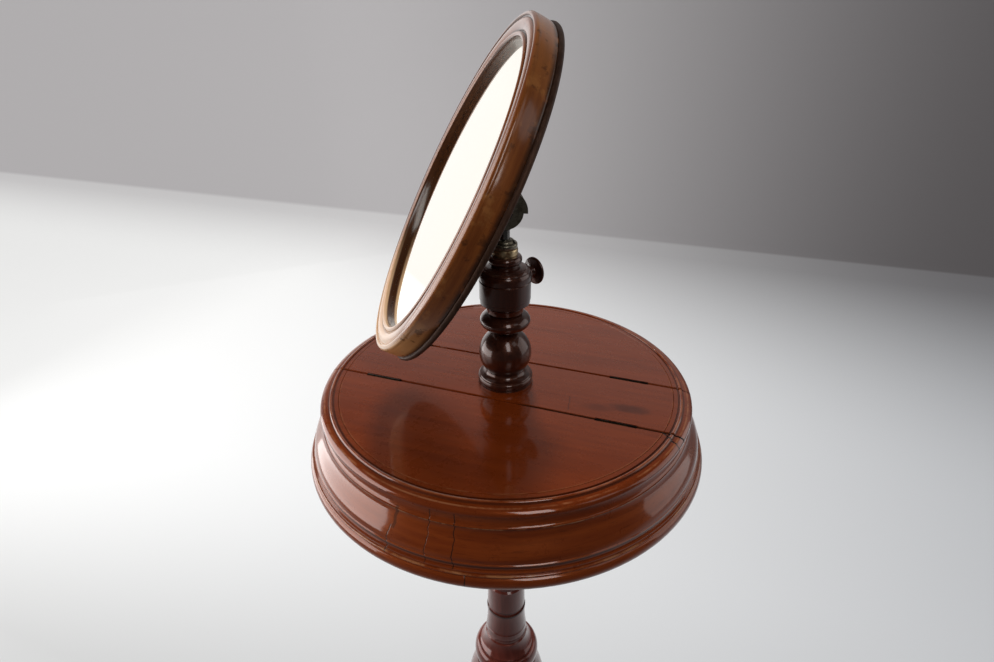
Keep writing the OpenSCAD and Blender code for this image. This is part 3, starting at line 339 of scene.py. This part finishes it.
def lid_marks(tree):
    """Painted shade and dirt in the grooves beside the bead, pale lines painted as highlights on the bead and the
    edge's fine reeds and partly rubbed wear, grime along the joints, a broken corner, a crack and stains.
    """
    place, x, y, z = rest_place(tree)
    r = distance_from_axis(tree, place)
    patchy = patches(tree, 17, 0.35, 0.6)
    top = near(tree, z, LID_TOP, 2.5, 1.5)
    right_end = near(tree, x, 115, 75, 25)
    bead = LID_RADIUS - BEAD_INSET
    return [
        # Painted shade and dirt: dark lines in the grooves on each side of the bead
        ([near(tree, r, bead - 2.7, 0.4, 0.8), top], "2a0f06", 0.7, 0.0),
        ([near(tree, r, bead + 2.1, 0.4, 0.8), top], "2a0f06", 0.6, 0.0),
        # Painted highlights, partly rubbed wear: patchy pale lines on the bead, on a fine reed inside it and on the
        # edge below the top, where the solid has no reeds
        ([near(tree, r, bead, 0.3, 0.8), top, patchy], "9c6240", 0.55, 0.0),
        ([near(tree, r, bead - 8.0, 0.25, 0.7), top, patchy], "8a5434", 0.4, 0.0),
        ([near(tree, r, bead + 5.9, 0.3, 0.8), near(tree, z, LID_TOP - 2, 4, 2), patchy], "a06a46", 0.5, 0.0),
        ([near(tree, y, -JOINT_Y, 0.2, 0.5)], "1a0805", 0.8, 0.0),
        ([near(tree, y, JOINT_Y, 0.2, 0.5)], "1a0805", 0.5, 0.0),
        ([near(tree, y, -JOINT_Y, 0.8, 0.7), right_end], "0c0403", 0.95, 0.0),
        (flat_crack(tree, (161, -38), (171, -47), 0.7, 1.2), "0c0403", 1.0, 0.6),
        (flat_crack(tree, (170, -46), (179, -51), 0.5, 1.5), "0c0403", 1.0, 0.6),
        (flat_crack(tree, (70, -10), (73, -31), 0.25, 2.0), "250c06", 0.6, 0.1),
        ([stain(tree, (128, -12), 27, 9, 0.9)], "2c120c", 0.6, 0.0),
        ([stain(tree, (98, -19), 22, 7, 1.3)], "3a160b", 0.4, 0.0),
    ]


def drum_marks(tree):
    """Cracks between the drum's staves, painted shade and dirt under its mouldings, painted highlights and rubbed wear
    on its arrises, small chips and a dark blot.
    """
    z = rest_place(tree)[3]
    top = LID_TOP
    # Patches that break up both the rubbed wear and the painted highlights on the arrises
    worn = patches(tree, 20, 0.45, 0.6)
    marks = [
        # Painted shade and dirt: dark lines just below the cove and the ogee, where the mouldings overhang
        ([near(tree, z, top - COVE_DROP, 0.5, 0.6)], "1e0a04", 0.8, 0.0),
        ([near(tree, z, top - OGEE_DROP, 0.5, 0.8)], "1e0a04", 0.8, 0.0),
        # Painted highlights, partly rubbed wear: patchy pale lines just above the cove's dark line and on the fillet
        ([near(tree, z, top - COVE_DROP + 0.6, 0.25, 0.5), worn], "b0805a", 0.5, 0.0),
        ([near(tree, z, top - FILLET_DROP, 0.25, 0.6), worn], "a87a52", 0.5, 0.0),
    ]
    for crack in (
        upright_crack(tree, -100.6, -0.06, top - 57, top - 34, 0.25),
        upright_crack(tree, -90.3, 0.0, top - 53, top - 10, 0.15),
        upright_crack(tree, -83.9, 0.04, top - 52, top - 3, 0.25),
        upright_crack(tree, -80.3, 0.05, top - 70, top - 56, 0.3),
        upright_crack(tree, 152, 0.1, top - 48, top - 20, 0.2),
        upright_crack(tree, 41, -0.1, top - 48, top - 20, 0.2),
    ):
        marks.append((crack, "0e0503", 1.0, 0.1))
    # Chips in the rim's upper edge are short, wide cracks that show pale wood, and the blot is a wide dark one
    for chip in (
        upright_crack(tree, -85.7, 0.0, top - 9.5, top - 7.5, 2.4),
        upright_crack(tree, -76.7, 0.0, top - 10.5, top - 8.5, 1.6),
    ):
        marks.append((chip, "d0a680", 0.75, 0.15))
    marks.append((upright_crack(tree, -99.6, -0.05, top - 35, top - 18, 1.3), "1c0a05", 0.7, 0.0))
    return marks


def pedestal_marks(tree):
    """Dark lines of painted shade and gathered polish in the shaft's two grooves, each 3 mm from the middle of the
    pair.
    """
    z = rest_place(tree)[3]
    middle = LID_TOP - GROOVE_DROP
    # Painted shade and gathered polish: a dark line in each groove
    return [([near(tree, z, groove, 1.0, 1.0)], "160706", 0.85, 0.0) for groove in (middle + 3, middle - 3)]


def mirror_frame_marks(tree):
    """Painted shade and gathered polish in the frame's grooves, painted shade round the glass, a rubbed side band with
    dark blots that is lighter at its top, painted light low on the band and the front face, and dirt towards the back
    board.
    """
    out, face, r = mirror_place(tree)
    front = near(tree, out, FRAME_FRONT, 2.5, 1.5)
    band = near(tree, r, FRAME_RADIUS, 0.6, 0.8)
    down = add(tree, "ShaderNodeSeparateXYZ", links={0: face}).outputs[0]
    return [
        # Painted shade and gathered polish: dark lines in the two grooves of the front face
        ([near(tree, r, FRAME_RADIUS - 5.0, 0.5, 0.8), front], "1c0c06", 0.9, 0.0),
        ([near(tree, r, SIGHT_RADIUS + 4.9, 0.5, 0.8), front], "1c0c06", 0.9, 0.0),
        # Painted shade: a dark band on the frame's inner wall round the glass
        ([near(tree, r, SIGHT_RADIUS - 1.5, 1.8, 0.3)], "200e06", 0.85, 0.0),
        ([band, patches(tree, 28, 0.46, 0.36)], "a06a38", 0.4, 0.0),
        # Painted light, with some worn stain: the lower part of the side band made pale where light bounced up from the
        # lids would fall
        ([band, near(tree, down, 150, 35, 60)], "d8a066", 0.85, 0.0),
        # The band is lighter round its top
        ([band, near(tree, down, -150, 15, 50)], "96602f", 0.35, 0.0),
        # Painted reflection: the lower part of the front face made pale cream, where it would show the bright floor
        ([front, near(tree, down, 150, 20, 60)], "dcb48c", 0.7, 0.0),
        ([band, patches(tree, 9, 0.57, 0.66)], "2c1308", 0.6, 0.0),
        ([band, near(tree, out, FRAME_FRONT - 21, 3, 5), patches(tree, 12, 0.3, 0.5)], "140805", 0.9, 0.0),
    ]


def silvered_glass(name, colour):
    """Old silvered plate glass: a clean reflection, with the silver gone dark in specks near the rim."""
    material, tree, surface = start(name)
    r = mirror_place(tree)[2]
    specks = patches(tree, 3, 0.0, 1.0)
    edge = near(tree, r, SIGHT_RADIUS + 4, 2, 16)
    reach = add(tree, "ShaderNodeMath", {"operation": "MULTIPLY_ADD", 1: 0.22}, {0: edge, 2: specks})
    foxed = add(tree, "ShaderNodeMapRange", {"interpolation_type": "SMOOTHSTEP", 1: 0.8, 2: 0.92}, {0: reach})
    tinted = add(tree, "ShaderNodeMix", {"data_type": "RGBA"}, {0: foxed, 6: colour, 7: to_linear("4a443c")})
    rough = add(tree, "ShaderNodeMapRange", {3: 0.02, 4: 0.35}, {0: foxed})
    surface.inputs["Metallic"].default_value = 1.0
    tree.links.new(tinted.outputs[2], surface.inputs["Base Color"])
    tree.links.new(rough.outputs[0], surface.inputs["Roughness"])
    return material


def dress(material, *names):
    """Puts one finish on CAD nodes and smooths the shading between the turned bands."""
    for name in names:
        piece = NODES[name]
        piece.data.materials.clear()
        piece.data.materials.append(material)
        smooth = piece.modifiers.new("smooth turned bands", "NODES")
        smooth.node_group = smooth_bands()


def smooth_bands():
    """A node group that joins the bands of a turned face and shades them smooth, up to the sharpest soft edge."""
    group = bpy.data.node_groups.get("smooth_turned_bands")
    if group:
        return group
    group = bpy.data.node_groups.new("smooth_turned_bands", "GeometryNodeTree")
    group.interface.new_socket("Geometry", in_out="INPUT", socket_type="NodeSocketGeometry")
    group.interface.new_socket("Geometry", in_out="OUTPUT", socket_type="NodeSocketGeometry")
    shape = add(group, "NodeGroupInput").outputs[0]
    plain = add(group, "GeometryNodeRemoveAttribute", {"Name": "custom_normal"}, {"Geometry": shape})
    joined = add(group, "GeometryNodeMergeByDistance", {"Distance": JOIN_DISTANCE}, {"Geometry": plain})
    rounded = add(group, "GeometryNodeSetShadeSmooth", {"domain": "FACE", "Shade Smooth": True}, {"Geometry": joined})
    angle = add(group, "GeometryNodeInputMeshEdgeAngle").outputs[0]
    soft = add(group, "FunctionNodeCompare", {"operation": "LESS_THAN", 1: SOFT_EDGE}, {0: angle})
    edges = add(group, "GeometryNodeSetShadeSmooth", {"domain": "EDGE"}, {"Geometry": rounded, "Shade Smooth": soft})
    add(group, "NodeGroupOutput", links={0: edges})
    return group


# ---------------------------------------------------------------- what a user may change


def swatch(name, description, hex_text):
    """A colour that a user can change, with an sRGB hex colour as its default."""
    return bpy.props.FloatVectorProperty(
        name=name, description=description, subtype="COLOR", size=4, min=0.0, max=1.0, default=to_linear(hex_text)
    )


class ShavingWoodColours(bpy.types.PropertyGroup):
    """Colours of the woods: each wood runs from a dark to a light tone."""

    top_dark: swatch("Top, dark", "Darkest figure of the lids and centre strip", "592006")
    top_middle: swatch("Top, middle", "Main colour of the lids and centre strip", "652607")
    top_light: swatch("Top, light", "Lightest ribbons of the lids and centre strip", "712e0c")
    drum_dark: swatch("Drum, dark", "Darkest figure of the drum's mouldings", "622408")
    drum_middle: swatch("Drum, middle", "Main colour of the drum's mouldings", "722e0b")
    drum_light: swatch("Drum, light", "Lightest ribbons of the drum's mouldings", "843b12")
    pillar_dark: swatch("Pillar, dark", "Darkest figure of the turned pillar and knob", "1a0906")
    pillar_middle: swatch("Pillar, middle", "Main colour of the turned pillar and knob", "2b130c")
    pillar_light: swatch("Pillar, light", "Lightest ribbons of the turned pillar and knob", "3c1d12")
    pedestal_dark: swatch("Pedestal, dark", "Darkest figure of the pedestal and legs", "451c14")
    pedestal_middle: swatch("Pedestal, middle", "Main colour of the pedestal and legs", "5c2820")
    pedestal_light: swatch("Pedestal, light", "Lightest ribbons of the pedestal and legs", "6c3228")
    frame_dark: swatch("Mirror frame, dark", "Darkest figure of the mirror's frame", "5a2a0e")
    frame_middle: swatch("Mirror frame, middle", "Main colour of the mirror's frame", "703a14")
    frame_light: swatch("Mirror frame, light", "Lightest ribbons of the mirror's frame", "8c4e20")
    board_dark: swatch("Back board, dark", "Darkest grain of the mirror's back board", "140b07")
    board_middle: swatch("Back board, middle", "Main colour of the mirror's back board", "2c1a13")
    board_light: swatch("Back board, light", "Dusty grain of the mirror's back board", "443026")
    inner_dark: swatch("Inside, dark", "Darkest grain of the unpolished inside wood", "5a3a20")
    inner_middle: swatch("Inside, middle", "Main colour of the unpolished inside wood", "83603a")
    inner_light: swatch("Inside, light", "Lightest grain of the unpolished inside wood", "a6835a")


class ShavingMetalColours(bpy.types.PropertyGroup):
    """Colours of the metals, where they are rubbed clean and where they are tarnished, and of the silvered glass."""

    brass_clean: swatch("Brass, clean", "Rubbed brass of the ring, nut, shoe and runner", "d2b890")
    brass_tarnished: swatch("Brass, tarnished", "Brown tarnish on the brass", "7a5e42")
    hinge_clean: swatch("Hinges, clean", "Rubbed brass of the lids' hinges", "3a2c1e")
    hinge_tarnished: swatch("Hinges, tarnished", "Dark tarnish on the lids' hinges", "15100c")
    bronze_clean: swatch("Bronzed brass, clean", "Rubbed places of the bronzed collar and bracket", "8a8272")
    bronze_tarnished: swatch("Bronzed brass, dark", "Brown-grey bronzing of the collar and bracket", "504a3e")
    steel_clean: swatch("Steel, clean", "Bright steel of the rod and screws", "7b7874")
    steel_tarnished: swatch("Steel, rusted", "Brown oxide on the rod and screws", "403a36")
    iron_clean: swatch("Iron, bare", "Bare iron of the brace plate", "4a4846")
    iron_tarnished: swatch("Iron, blacked", "Blacked iron of the brace plate", "1b1a19")
    silver: swatch("Silvering", "Colour of what the mirror reflects", "fbf8ea")


class ShavingStageSizes(bpy.types.PropertyGroup):
    """Sizes, colours and strengths of the studio."""

    # The board's tones carry painted light: pale on the window side, painted shade on the far side, and a painted pale
    # band high on the wall that polish shows
    floor_lit: swatch("Floor, pale side", "Colour of the plain floor towards the window", "fbfbfa")
    floor_shaded: swatch("Floor, dark side", "Colour of the plain floor away from the window", "a6a8ac")
    wall_lit: swatch("Wall, pale side", "Colour of the backdrop towards the window", "bfbcbd")
    wall_shaded: swatch("Wall, dark side", "Colour of the backdrop away from the window", "565354")
    wall_high: swatch("Wall, high up", "Colour of the pale band above the picture", "a3a2a2")
    wall_distance: bpy.props.FloatProperty(
        name="Wall distance", description="From the stand's axis to the backdrop", default=3.03, min=1.0, unit="LENGTH"
    )
    sweep_radius: bpy.props.FloatProperty(
        name="Sweep radius",
        description="Curve where the floor rises to the backdrop",
        default=0.1,
        min=0.01,
        unit="LENGTH",
    )
    ceiling_power: bpy.props.FloatProperty(
        name="Ceiling light", description="Power of the wide soft light overhead", default=8.0, min=0.0, unit="POWER"
    )
    key_power: bpy.props.FloatProperty(
        name="Key light",
        description="Power of the lamp behind, which throws the soft shadows on the lids",
        default=54.0,
        min=0.0,
        unit="POWER",
    )
    window_power: bpy.props.FloatProperty(
        name="Window light", description="Power of the long window at the left", default=102.0, min=0.0, unit="POWER"
    )
    panel_power: bpy.props.FloatProperty(
        name="White panel",
        description="Power of the white panel that the mirror shows",
        default=9.0,
        min=0.0,
        unit="POWER",
    )
    lamp_power: bpy.props.FloatProperty(
        name="Lamp by the camera",
        description="Power of the narrow soft lamp at the right of the camera",
        default=6.0,
        min=0.0,
        unit="POWER",
    )
    fill_power: bpy.props.FloatProperty(
        name="Fill light", description="Power of the white reflector at the right", default=17.0, min=0.0, unit="POWER"
    )
    high_power: bpy.props.FloatProperty(
        name="High reflector",
        description="Power of the small reflector high at the right, which the side of the frame shows",
        default=1.6,
        min=0.0,
        unit="POWER",
    )
    sky_strength: bpy.props.FloatProperty(
        name="Room light", description="Strength of the even light from all round", default=0.05, min=0.0
    )
    sky_tone: bpy.props.FloatProperty(
        name="Room tone", description="Brightness of the room past the board, where 1 is white", default=0.32, min=0.0
    )


# ---------------------------------------------------------------- pieces


class SHAVING_OT_top(bpy.types.Operator):
    """Polish the two lids and the centre strip"""

    bl_idname = "shaving.top"
    bl_label = "Lids and Centre Strip"

    def execute(self, context):
        woods = context.scene.shaving_woods
        # French-polished mahogany board: rubbed shellac gives a clear warm gloss over long, quiet grain
        tones = (woods.top_dark, woods.top_middle, woods.top_light)
        finish = wood(
            "french_polished_mahogany",
            lambda tree: along_board(tree, "X"),
            tones,
            polish=(0.9, 0.07, 0.5),
            marks=lid_marks,
            pores=0.06,
        )
        dress(finish, "front_lid", "rear_lid", "centre_strip")
        return {"FINISHED"}


class SHAVING_OT_drum(bpy.types.Operator):
    """Polish the drum's rim and base moulding, and leave its inside plain"""

    bl_idname = "shaving.drum"
    bl_label = "Drum"

    def execute(self, context):
        woods = context.scene.shaving_woods
        # Turned mahogany ring under old shellac: the grain runs round the mouldings, with a thinner, worn gloss
        tones = (woods.drum_dark, woods.drum_middle, woods.drum_light)
        finish = wood(
            "turned_mahogany_ring",
            lambda tree: round_ring(tree, DRUM_GRAIN_RADIUS),
            tones,
            polish=(0.85, 0.09, 0.5),
            marks=drum_marks,
            coarse=0.9,
            pores=0.4,
            seed=20.0,
        )
        dress(finish, "drum_rim", "base_moulding")
        # Planed pine left bare inside: pale, dull, with its pores open
        tones = (woods.inner_dark, woods.inner_middle, woods.inner_light)
        bare = wood(
            "planed_bare_pine",
            lambda tree: along_board(tree, "X"),
            tones,
            polish=(0.0, 0.3, 0.4),
            coarse=1.2,
            pores=0.6,
            seed=31.0,
        )
        dress(bare, "drum_bottom", "centre_block", "front_partition", "rear_partition", "glass_blocks")
        return {"FINISHED"}


class SHAVING_OT_pillar(bpy.types.Operator):
    """Polish the turned pillar, the clamp's boss and its knob"""

    bl_idname = "shaving.pillar"
    bl_label = "Pillar and Knob"

    def execute(self, context):
        woods = context.scene.shaving_woods
        # Mahogany turned on the lathe, stained near black and polished: every bead shows its own soft highlight
        tones = (woods.pillar_dark, woods.pillar_middle, woods.pillar_light)
        finish = wood(
            "turned_dark_mahogany",
            lambda tree: along_board(tree, "Z"),
            tones,
            polish=(0.75, 0.12, 0.35),
            coarse=0.6,
            pores=0.3,
            seed=44.0,
        )
        dress(finish, "pillar", "clamp_boss", "clamp_knob")
        return {"FINISHED"}


class SHAVING_OT_pedestal(bpy.types.Operator):
    """Polish the drum's flange, the pedestal and the three legs"""

    bl_idname = "shaving.pedestal"
    bl_label = "Pedestal and Legs"

    def execute(self, context):
        woods = context.scene.shaving_woods
        # Turned mahogany stained dark red under shellac: deep colour, and a bright line down each turned part
        tones = (woods.pedestal_dark, woods.pedestal_middle, woods.pedestal_light)
        finish = wood(
            "turned_red_mahogany",
            lambda tree: along_board(tree, "Z"),
            tones,
            polish=(0.9, 0.12, 0.35),
            marks=pedestal_marks,
            coarse=0.8,
            pores=0.3,
            seed=57.0,
        )
        dress(finish, "drum_flange", "pedestal_shaft", "pedestal_base", "leg_front", "leg_left", "leg_right")
        # Blacked iron plate and screws under the leg block: dull, with bare iron at rubbed places
        metals = context.scene.shaving_metals
        iron = metal("blacked_iron", metals.iron_clean, metals.iron_tarnished, (0.45, 0.7), 14, None, (0.3, 0.5))
        dress(iron, "brace_plate", "brace_screws", "flange_screws", "bottom_screws")
        return {"FINISHED"}


class SHAVING_OT_mirror(bpy.types.Operator):
    """Polish the mirror's frame, age its back board and silver its glass"""

    bl_idname = "shaving.mirror"
    bl_label = "Mirror"

    def execute(self, context):
        woods = context.scene.shaving_woods
        # Turned mahogany ring, stained and worn: orange-brown where the stain has gone, pale with painted light low on
        # its band and front, and dark with painted shade and gathered polish in its grooves and round the glass
        tones = (woods.frame_dark, woods.frame_middle, woods.frame_light)
        ring = wood(
            "worn_mahogany_ring",
            lambda tree: round_mirror(tree, FRAME_GRAIN_RADIUS),
            tones,
            polish=(0.9, 0.16, 0.4),
            marks=mirror_frame_marks,
            coarse=0.7,
            seed=63.0,
        )
        dress(ring, "mirror_frame")
        # Thin sawn board stained brown and never polished: dusty and matt, with open grain
        tones = (woods.board_dark, woods.board_middle, woods.board_light)
        board = wood(
            "stained_back_board",
            lambda tree: along_board(tree, "Z"),
            tones,
            polish=(0.0, 0.3, 0.3),
            pores=0.6,
            seed=71.0,
        )
        dress(board, "back_board")
        # Plate glass silvered on its back: a clean reflection, with dark specks near the rim where damp has got in
        dress(silvered_glass("silvered_plate_glass", context.scene.shaving_metals.silver), "mirror_glass")
        return {"FINISHED"}


class SHAVING_OT_fittings(bpy.types.Operator):
    """Age the brass, bronzed brass and steel fittings"""

    bl_idname = "shaving.fittings"
    bl_label = "Metal Fittings"

    def execute(self, context):
        metals = context.scene.shaving_metals
        # Turned brass, lacquer long gone: brown tarnish with yellow metal at the rubbed edges
        brass = metal("aged_turned_brass", metals.brass_clean, metals.brass_tarnished, (0.28, 0.5), 9, "round")
        dress(brass, "brass_ring", "clamp_nut", "clamp_shoe", "rod_runner", "pivot_washers")
        # Cast brass hinges let into the joint line, black with old polish
        hinge = metal("tarnished_hinge_brass", metals.hinge_clean, metals.hinge_tarnished, (0.35, 0.55), 6)
        dress(hinge, "front_lid_hinge_leaves", "rear_lid_hinge_leaves", "hinge_pins_front", "hinge_pins_rear")
        dress(hinge, "strip_hinge_leaves_front", "strip_hinge_leaves_rear")
        dress(hinge, "front_lid_screws", "rear_lid_screws", "strip_hinge_screws")
        # Cast brass turned and bronzed dark: grey-green brown with a dull shine
        bronze = metal("bronzed_cast_brass", metals.bronze_clean, metals.bronze_tarnished, (0.3, 0.5), 7, "round")
        dress(bronze, "collar", "mirror_bracket")
        # Drawn steel rod: bright once, now grey-brown with light rust, and rubbed lengthwise
        steel = metal("worn_drawn_steel", metals.steel_clean, metals.steel_tarnished, (0.25, 0.45), 12, "up")
        dress(steel, "rod", "rod_end_screw", "clamp_screw", "pivot_screw", "pivot_nut")
        dress(steel, "bracket_screws", "collar_screws", "back_screws")
        return {"FINISHED"}


# ---------------------------------------------------------------- stage


def soft_light(name, power, place, aim, width, height):
    """A rectangular soft light that the camera doesn't see."""
    lamp = bpy.data.lights.new(name, "AREA")
    lamp.shape = "RECTANGLE"
    lamp.size, lamp.size_y, lamp.energy = width, height, power
    light = bpy.data.objects.new(name, lamp)
    light.location = place
    light.rotation_euler = (Vector(aim) - Vector(place)).to_track_quat("-Z", "Y").to_euler()
    light.visible_camera = False
    bpy.context.scene.collection.objects.link(light)
    return light


def backdrop_sweep(far, radius, material):
    """One sheet of painted board: the floor, a curve and the backdrop."""
    steps = 12
    turns = [math.pi / 2 * step / steps for step in range(steps + 1)]
    curve = [(far - radius + radius * math.sin(turn), radius - radius * math.cos(turn)) for turn in turns]
    profile = [(BOARD_FRONT, 0.0), *curve, (far, BOARD_TOP)]
    corners = [(x, y, z) for y, z in profile for x in (-BOARD_SIDE, BOARD_SIDE)]
    faces = [(2 * i, 2 * i + 1, 2 * i + 3, 2 * i + 2) for i in range(len(profile) - 1)]
    mesh = bpy.data.meshes.new("backdrop_sweep")
    mesh.from_pydata(corners, [], faces)
    mesh.shade_smooth()
    mesh.materials.append(material)
    sheet = bpy.data.objects.new("backdrop_sweep", mesh)
    bpy.context.scene.collection.objects.link(sheet)


class SHAVING_OT_stage(bpy.types.Operator):
    """Set the floor, backdrop, lights and camera"""

    bl_idname = "shaving.stage"
    bl_label = "Stage, Light and Camera"

    def execute(self, context):
        scene = context.scene
        sizes = scene.shaving_stage

        # Painted matt board, dull, whose tone carries painted light: it runs from a painted pool of light on the window
        # side to painted shade on the dark side, and from floor to wall
        board, tree, surface = start("board_with_painted_glow")
        split = add(tree, "ShaderNodeSeparateXYZ", links={0: add(tree, "ShaderNodeTexCoord").outputs["Object"]})
        x, y, z = split.outputs
        side = add(tree, "ShaderNodeMapRange", {1: -1.9, 2: 1.7}, {0: x})
        floor = add(tree, "ShaderNodeMix", {"data_type": "RGBA"}, {0: side, 6: sizes.floor_lit, 7: sizes.floor_shaded})
        side = add(tree, "ShaderNodeMapRange", {"interpolation_type": "SMOOTHSTEP", 1: -2.3, 2: 1.6}, {0: x})
        wall = add(tree, "ShaderNodeMix", {"data_type": "RGBA"}, {0: side, 6: sizes.wall_lit, 7: sizes.wall_shaded})
        near_edge = add(tree, "ShaderNodeMapRange", {1: -2.5, 2: 2.0, 3: 2.0, 4: 0.95}, {0: x})
        back = {"interpolation_type": "SMOOTHSTEP", 2: sizes.wall_distance + 0.6}
        far = add(tree, "ShaderNodeMapRange", back, {0: y, 1: near_edge})
        rise = add(tree, "ShaderNodeMapRange", {1: 0.0, 2: 0.06}, {0: z})
        far = add(tree, "ShaderNodeMath", {"operation": "MAXIMUM"}, {0: far, 1: rise})
        floor, wall = floor.outputs[2], wall.outputs[2]
        tone = add(tree, "ShaderNodeMix", {"data_type": "RGBA"}, {0: far, 6: floor, 7: wall}).outputs[2]
        # Painted shade in what polish shows out of the picture: the tone falls off towards the front, and up the wall
        # past a painted pale band. A camera that looks there from another side still sees a pale floor
        path = add(tree, "ShaderNodeLightPath").outputs
        camera_ray, glossy_ray, through_ray = (path[f"Is {kind} Ray"] for kind in ("Camera", "Glossy", "Transmission"))
        high = add(tree, "ShaderNodeMapRange", {1: 1.4, 2: 2.6}, {0: z})
        tone = add(tree, "ShaderNodeMix", {"data_type": "RGBA", 7: sizes.wall_high}, {0: high, 6: tone}).outputs[2]
        painted_room_shade, pale_floor = 0.12, 0.68
        above = add(tree, "ShaderNodeMapRange", {1: 3.0, 2: 4.3, 3: 1.0, 4: painted_room_shade}, {0: z})
        fade = {"interpolation_type": "SMOOTHSTEP", 1: -1.1, 2: 0.75, 3: painted_room_shade, 4: 1.0}
        before = add(tree, "ShaderNodeMapRange", fade, {0: y})
        least = add(tree, "ShaderNodeMath", {"operation": "MULTIPLY", 1: pale_floor}, {0: camera_ray})
        before = add(tree, "ShaderNodeMath", {"operation": "MAXIMUM"}, {0: before, 1: least})
        lit = add(tree, "ShaderNodeMath", {"operation": "MULTIPLY"}, {0: above, 1: before})
        tone = add(tree, "ShaderNodeVectorMath", {"operation": "SCALE"}, {0: tone, "Scale": lit}).outputs[0]
        # A camera or a reflection sees the board mostly by a painted glow of its own tone, though the board is no lamp,
        # which keeps that tone steady. All other light meets plain matt board
        shown = add(tree, "ShaderNodeMath", {"operation": "MAXIMUM"}, {0: camera_ray, 1: glossy_ray})
        shown = add(tree, "ShaderNodeMath", {"operation": "MAXIMUM"}, {0: shown, 1: through_ray})
        kept = add(tree, "ShaderNodeMapRange", {3: 1.0, 4: 0.3}, {0: shown})
        matt = add(tree, "ShaderNodeVectorMath", {"operation": "SCALE"}, {0: tone, "Scale": kept})
        glow = add(tree, "ShaderNodeMath", {"operation": "MULTIPLY", 1: 0.8}, {0: shown})
        tree.links.new(matt.outputs[0], surface.inputs["Base Color"])
        tree.links.new(tone, surface.inputs["Emission Color"])
        tree.links.new(glow.outputs[0], surface.inputs["Emission Strength"])
        surface.inputs["Roughness"].default_value = 0.9
        backdrop_sweep(sizes.wall_distance, sizes.sweep_radius, board)

        # A wide soft ceiling and a lamp behind that light without a reflection, a long window at the left, the white
        # panel that polish and glass show, a narrow lamp at the right of the camera, a weak fill from the right and a
        # small reflector above it
        ceiling = soft_light("ceiling_light", sizes.ceiling_power, (-0.4, 1.2, 3.0), (0, 0, 1.0), 2.2, 1.8)
        key = soft_light("key_light", sizes.key_power, (-0.75, 1.75, 2.7), (0, 0, 1.0), 0.4, 0.35)
        ceiling.visible_glossy = key.visible_glossy = False
        soft_light("window_light", sizes.window_power, (-2.4, -1.0, 1.75), (0, -1.0, 1.75), 3.2, 2.8)
        panel = soft_light("white_panel", sizes.panel_power, (-2.0, 2.2, 1.0), (-0.05, 0, 1.18), 2.4, 2.0)
        panel.visible_diffuse = False
        soft_light("camera_lamp", sizes.lamp_power, (0.62, -0.86, 2.05), (0, 0, 1.02), 0.4, 1.0)
        soft_light("fill_light", sizes.fill_power, (2.35, 1.15, 1.75), (0, 0, 1.2), 2.4, 2.3)
        soft_light("high_reflector", sizes.high_power, (1.85, -0.3, 2.95), (0, 0, 1.3), 0.8, 0.8)

        # An even light from all round, which a camera sees as a pale grey past the edges of the board
        world = bpy.data.worlds.new("room_light")
        world.use_nodes = True
        tree = world.node_tree
        tree.nodes.clear()
        seen = add(tree, "ShaderNodeLightPath").outputs["Is Camera Ray"]
        level = add(tree, "ShaderNodeMapRange", {3: sizes.sky_strength, 4: sizes.sky_tone}, {0: seen})
        sky = add(tree, "ShaderNodeBackground", {"Color": (1, 1, 1, 1)}, {"Strength": level})
        add(tree, "ShaderNodeOutputWorld", links={"Surface": sky})
        scene.world = world

        camera = bpy.data.objects.new("camera", bpy.data.cameras.new("camera"))
        camera.data.lens, camera.data.sensor_width = LENS_MM, SENSOR_MM
        pan, tilt, roll = (
            Matrix.Rotation(math.radians(angle), 4, axis)
            for angle, axis in ((CAMERA_PAN, "Z"), (CAMERA_TILT, "X"), (CAMERA_ROLL, "Z"))
        )
        camera.matrix_world = Matrix.Translation(CAMERA_PLACE) @ (pan @ tilt) @ roll
        scene.collection.objects.link(camera)
        scene.camera = camera
        scene.view_settings.view_transform = "Standard"
        return {"FINISHED"}


class SHAVING_PT_panel(bpy.types.Panel):
    """The stand's finishes and sizes, in the 3D view's sidebar"""

    bl_idname = "SHAVING_PT_panel"
    bl_label = "Shaving Stand"
    bl_space_type = "VIEW_3D"
    bl_region_type = "UI"
    bl_category = "Shaving Stand"

    def draw(self, context):
        layout = self.layout
        for operator in OPERATORS:
            layout.operator(operator.bl_idname)
        for group in (context.scene.shaving_woods, context.scene.shaving_metals, context.scene.shaving_stage):
            box = layout.box()
            for name in group.__annotations__:
                box.prop(group, name)


OPERATORS = (
    SHAVING_OT_top,
    SHAVING_OT_drum,
    SHAVING_OT_pillar,
    SHAVING_OT_pedestal,
    SHAVING_OT_mirror,
    SHAVING_OT_fittings,
    SHAVING_OT_stage,
)
CLASSES = (ShavingWoodColours, ShavingMetalColours, ShavingStageSizes, *OPERATORS, SHAVING_PT_panel)


def register():
    """Registers the classes, and gives each scene its colours and sizes."""
    for item in CLASSES:
        bpy.utils.register_class(item)
    bpy.types.Scene.shaving_woods = bpy.props.PointerProperty(type=ShavingWoodColours)
    bpy.types.Scene.shaving_metals = bpy.props.PointerProperty(type=ShavingMetalColours)
    bpy.types.Scene.shaving_stage = bpy.props.PointerProperty(type=ShavingStageSizes)


def unregister():
    """Takes back what register() did."""
    del bpy.types.Scene.shaving_stage
    del bpy.types.Scene.shaving_metals
    del bpy.types.Scene.shaving_woods
    for item in reversed(CLASSES):
        bpy.utils.unregister_class(item)


def main():
    """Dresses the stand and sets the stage."""
    register()
    bpy.ops.shaving.top()
    bpy.ops.shaving.drum()
    bpy.ops.shaving.pillar()
    bpy.ops.shaving.pedestal()
    bpy.ops.shaving.mirror()
    bpy.ops.shaving.fittings()
    bpy.ops.shaving.stage()


if __name__ == "__main__":
    main()
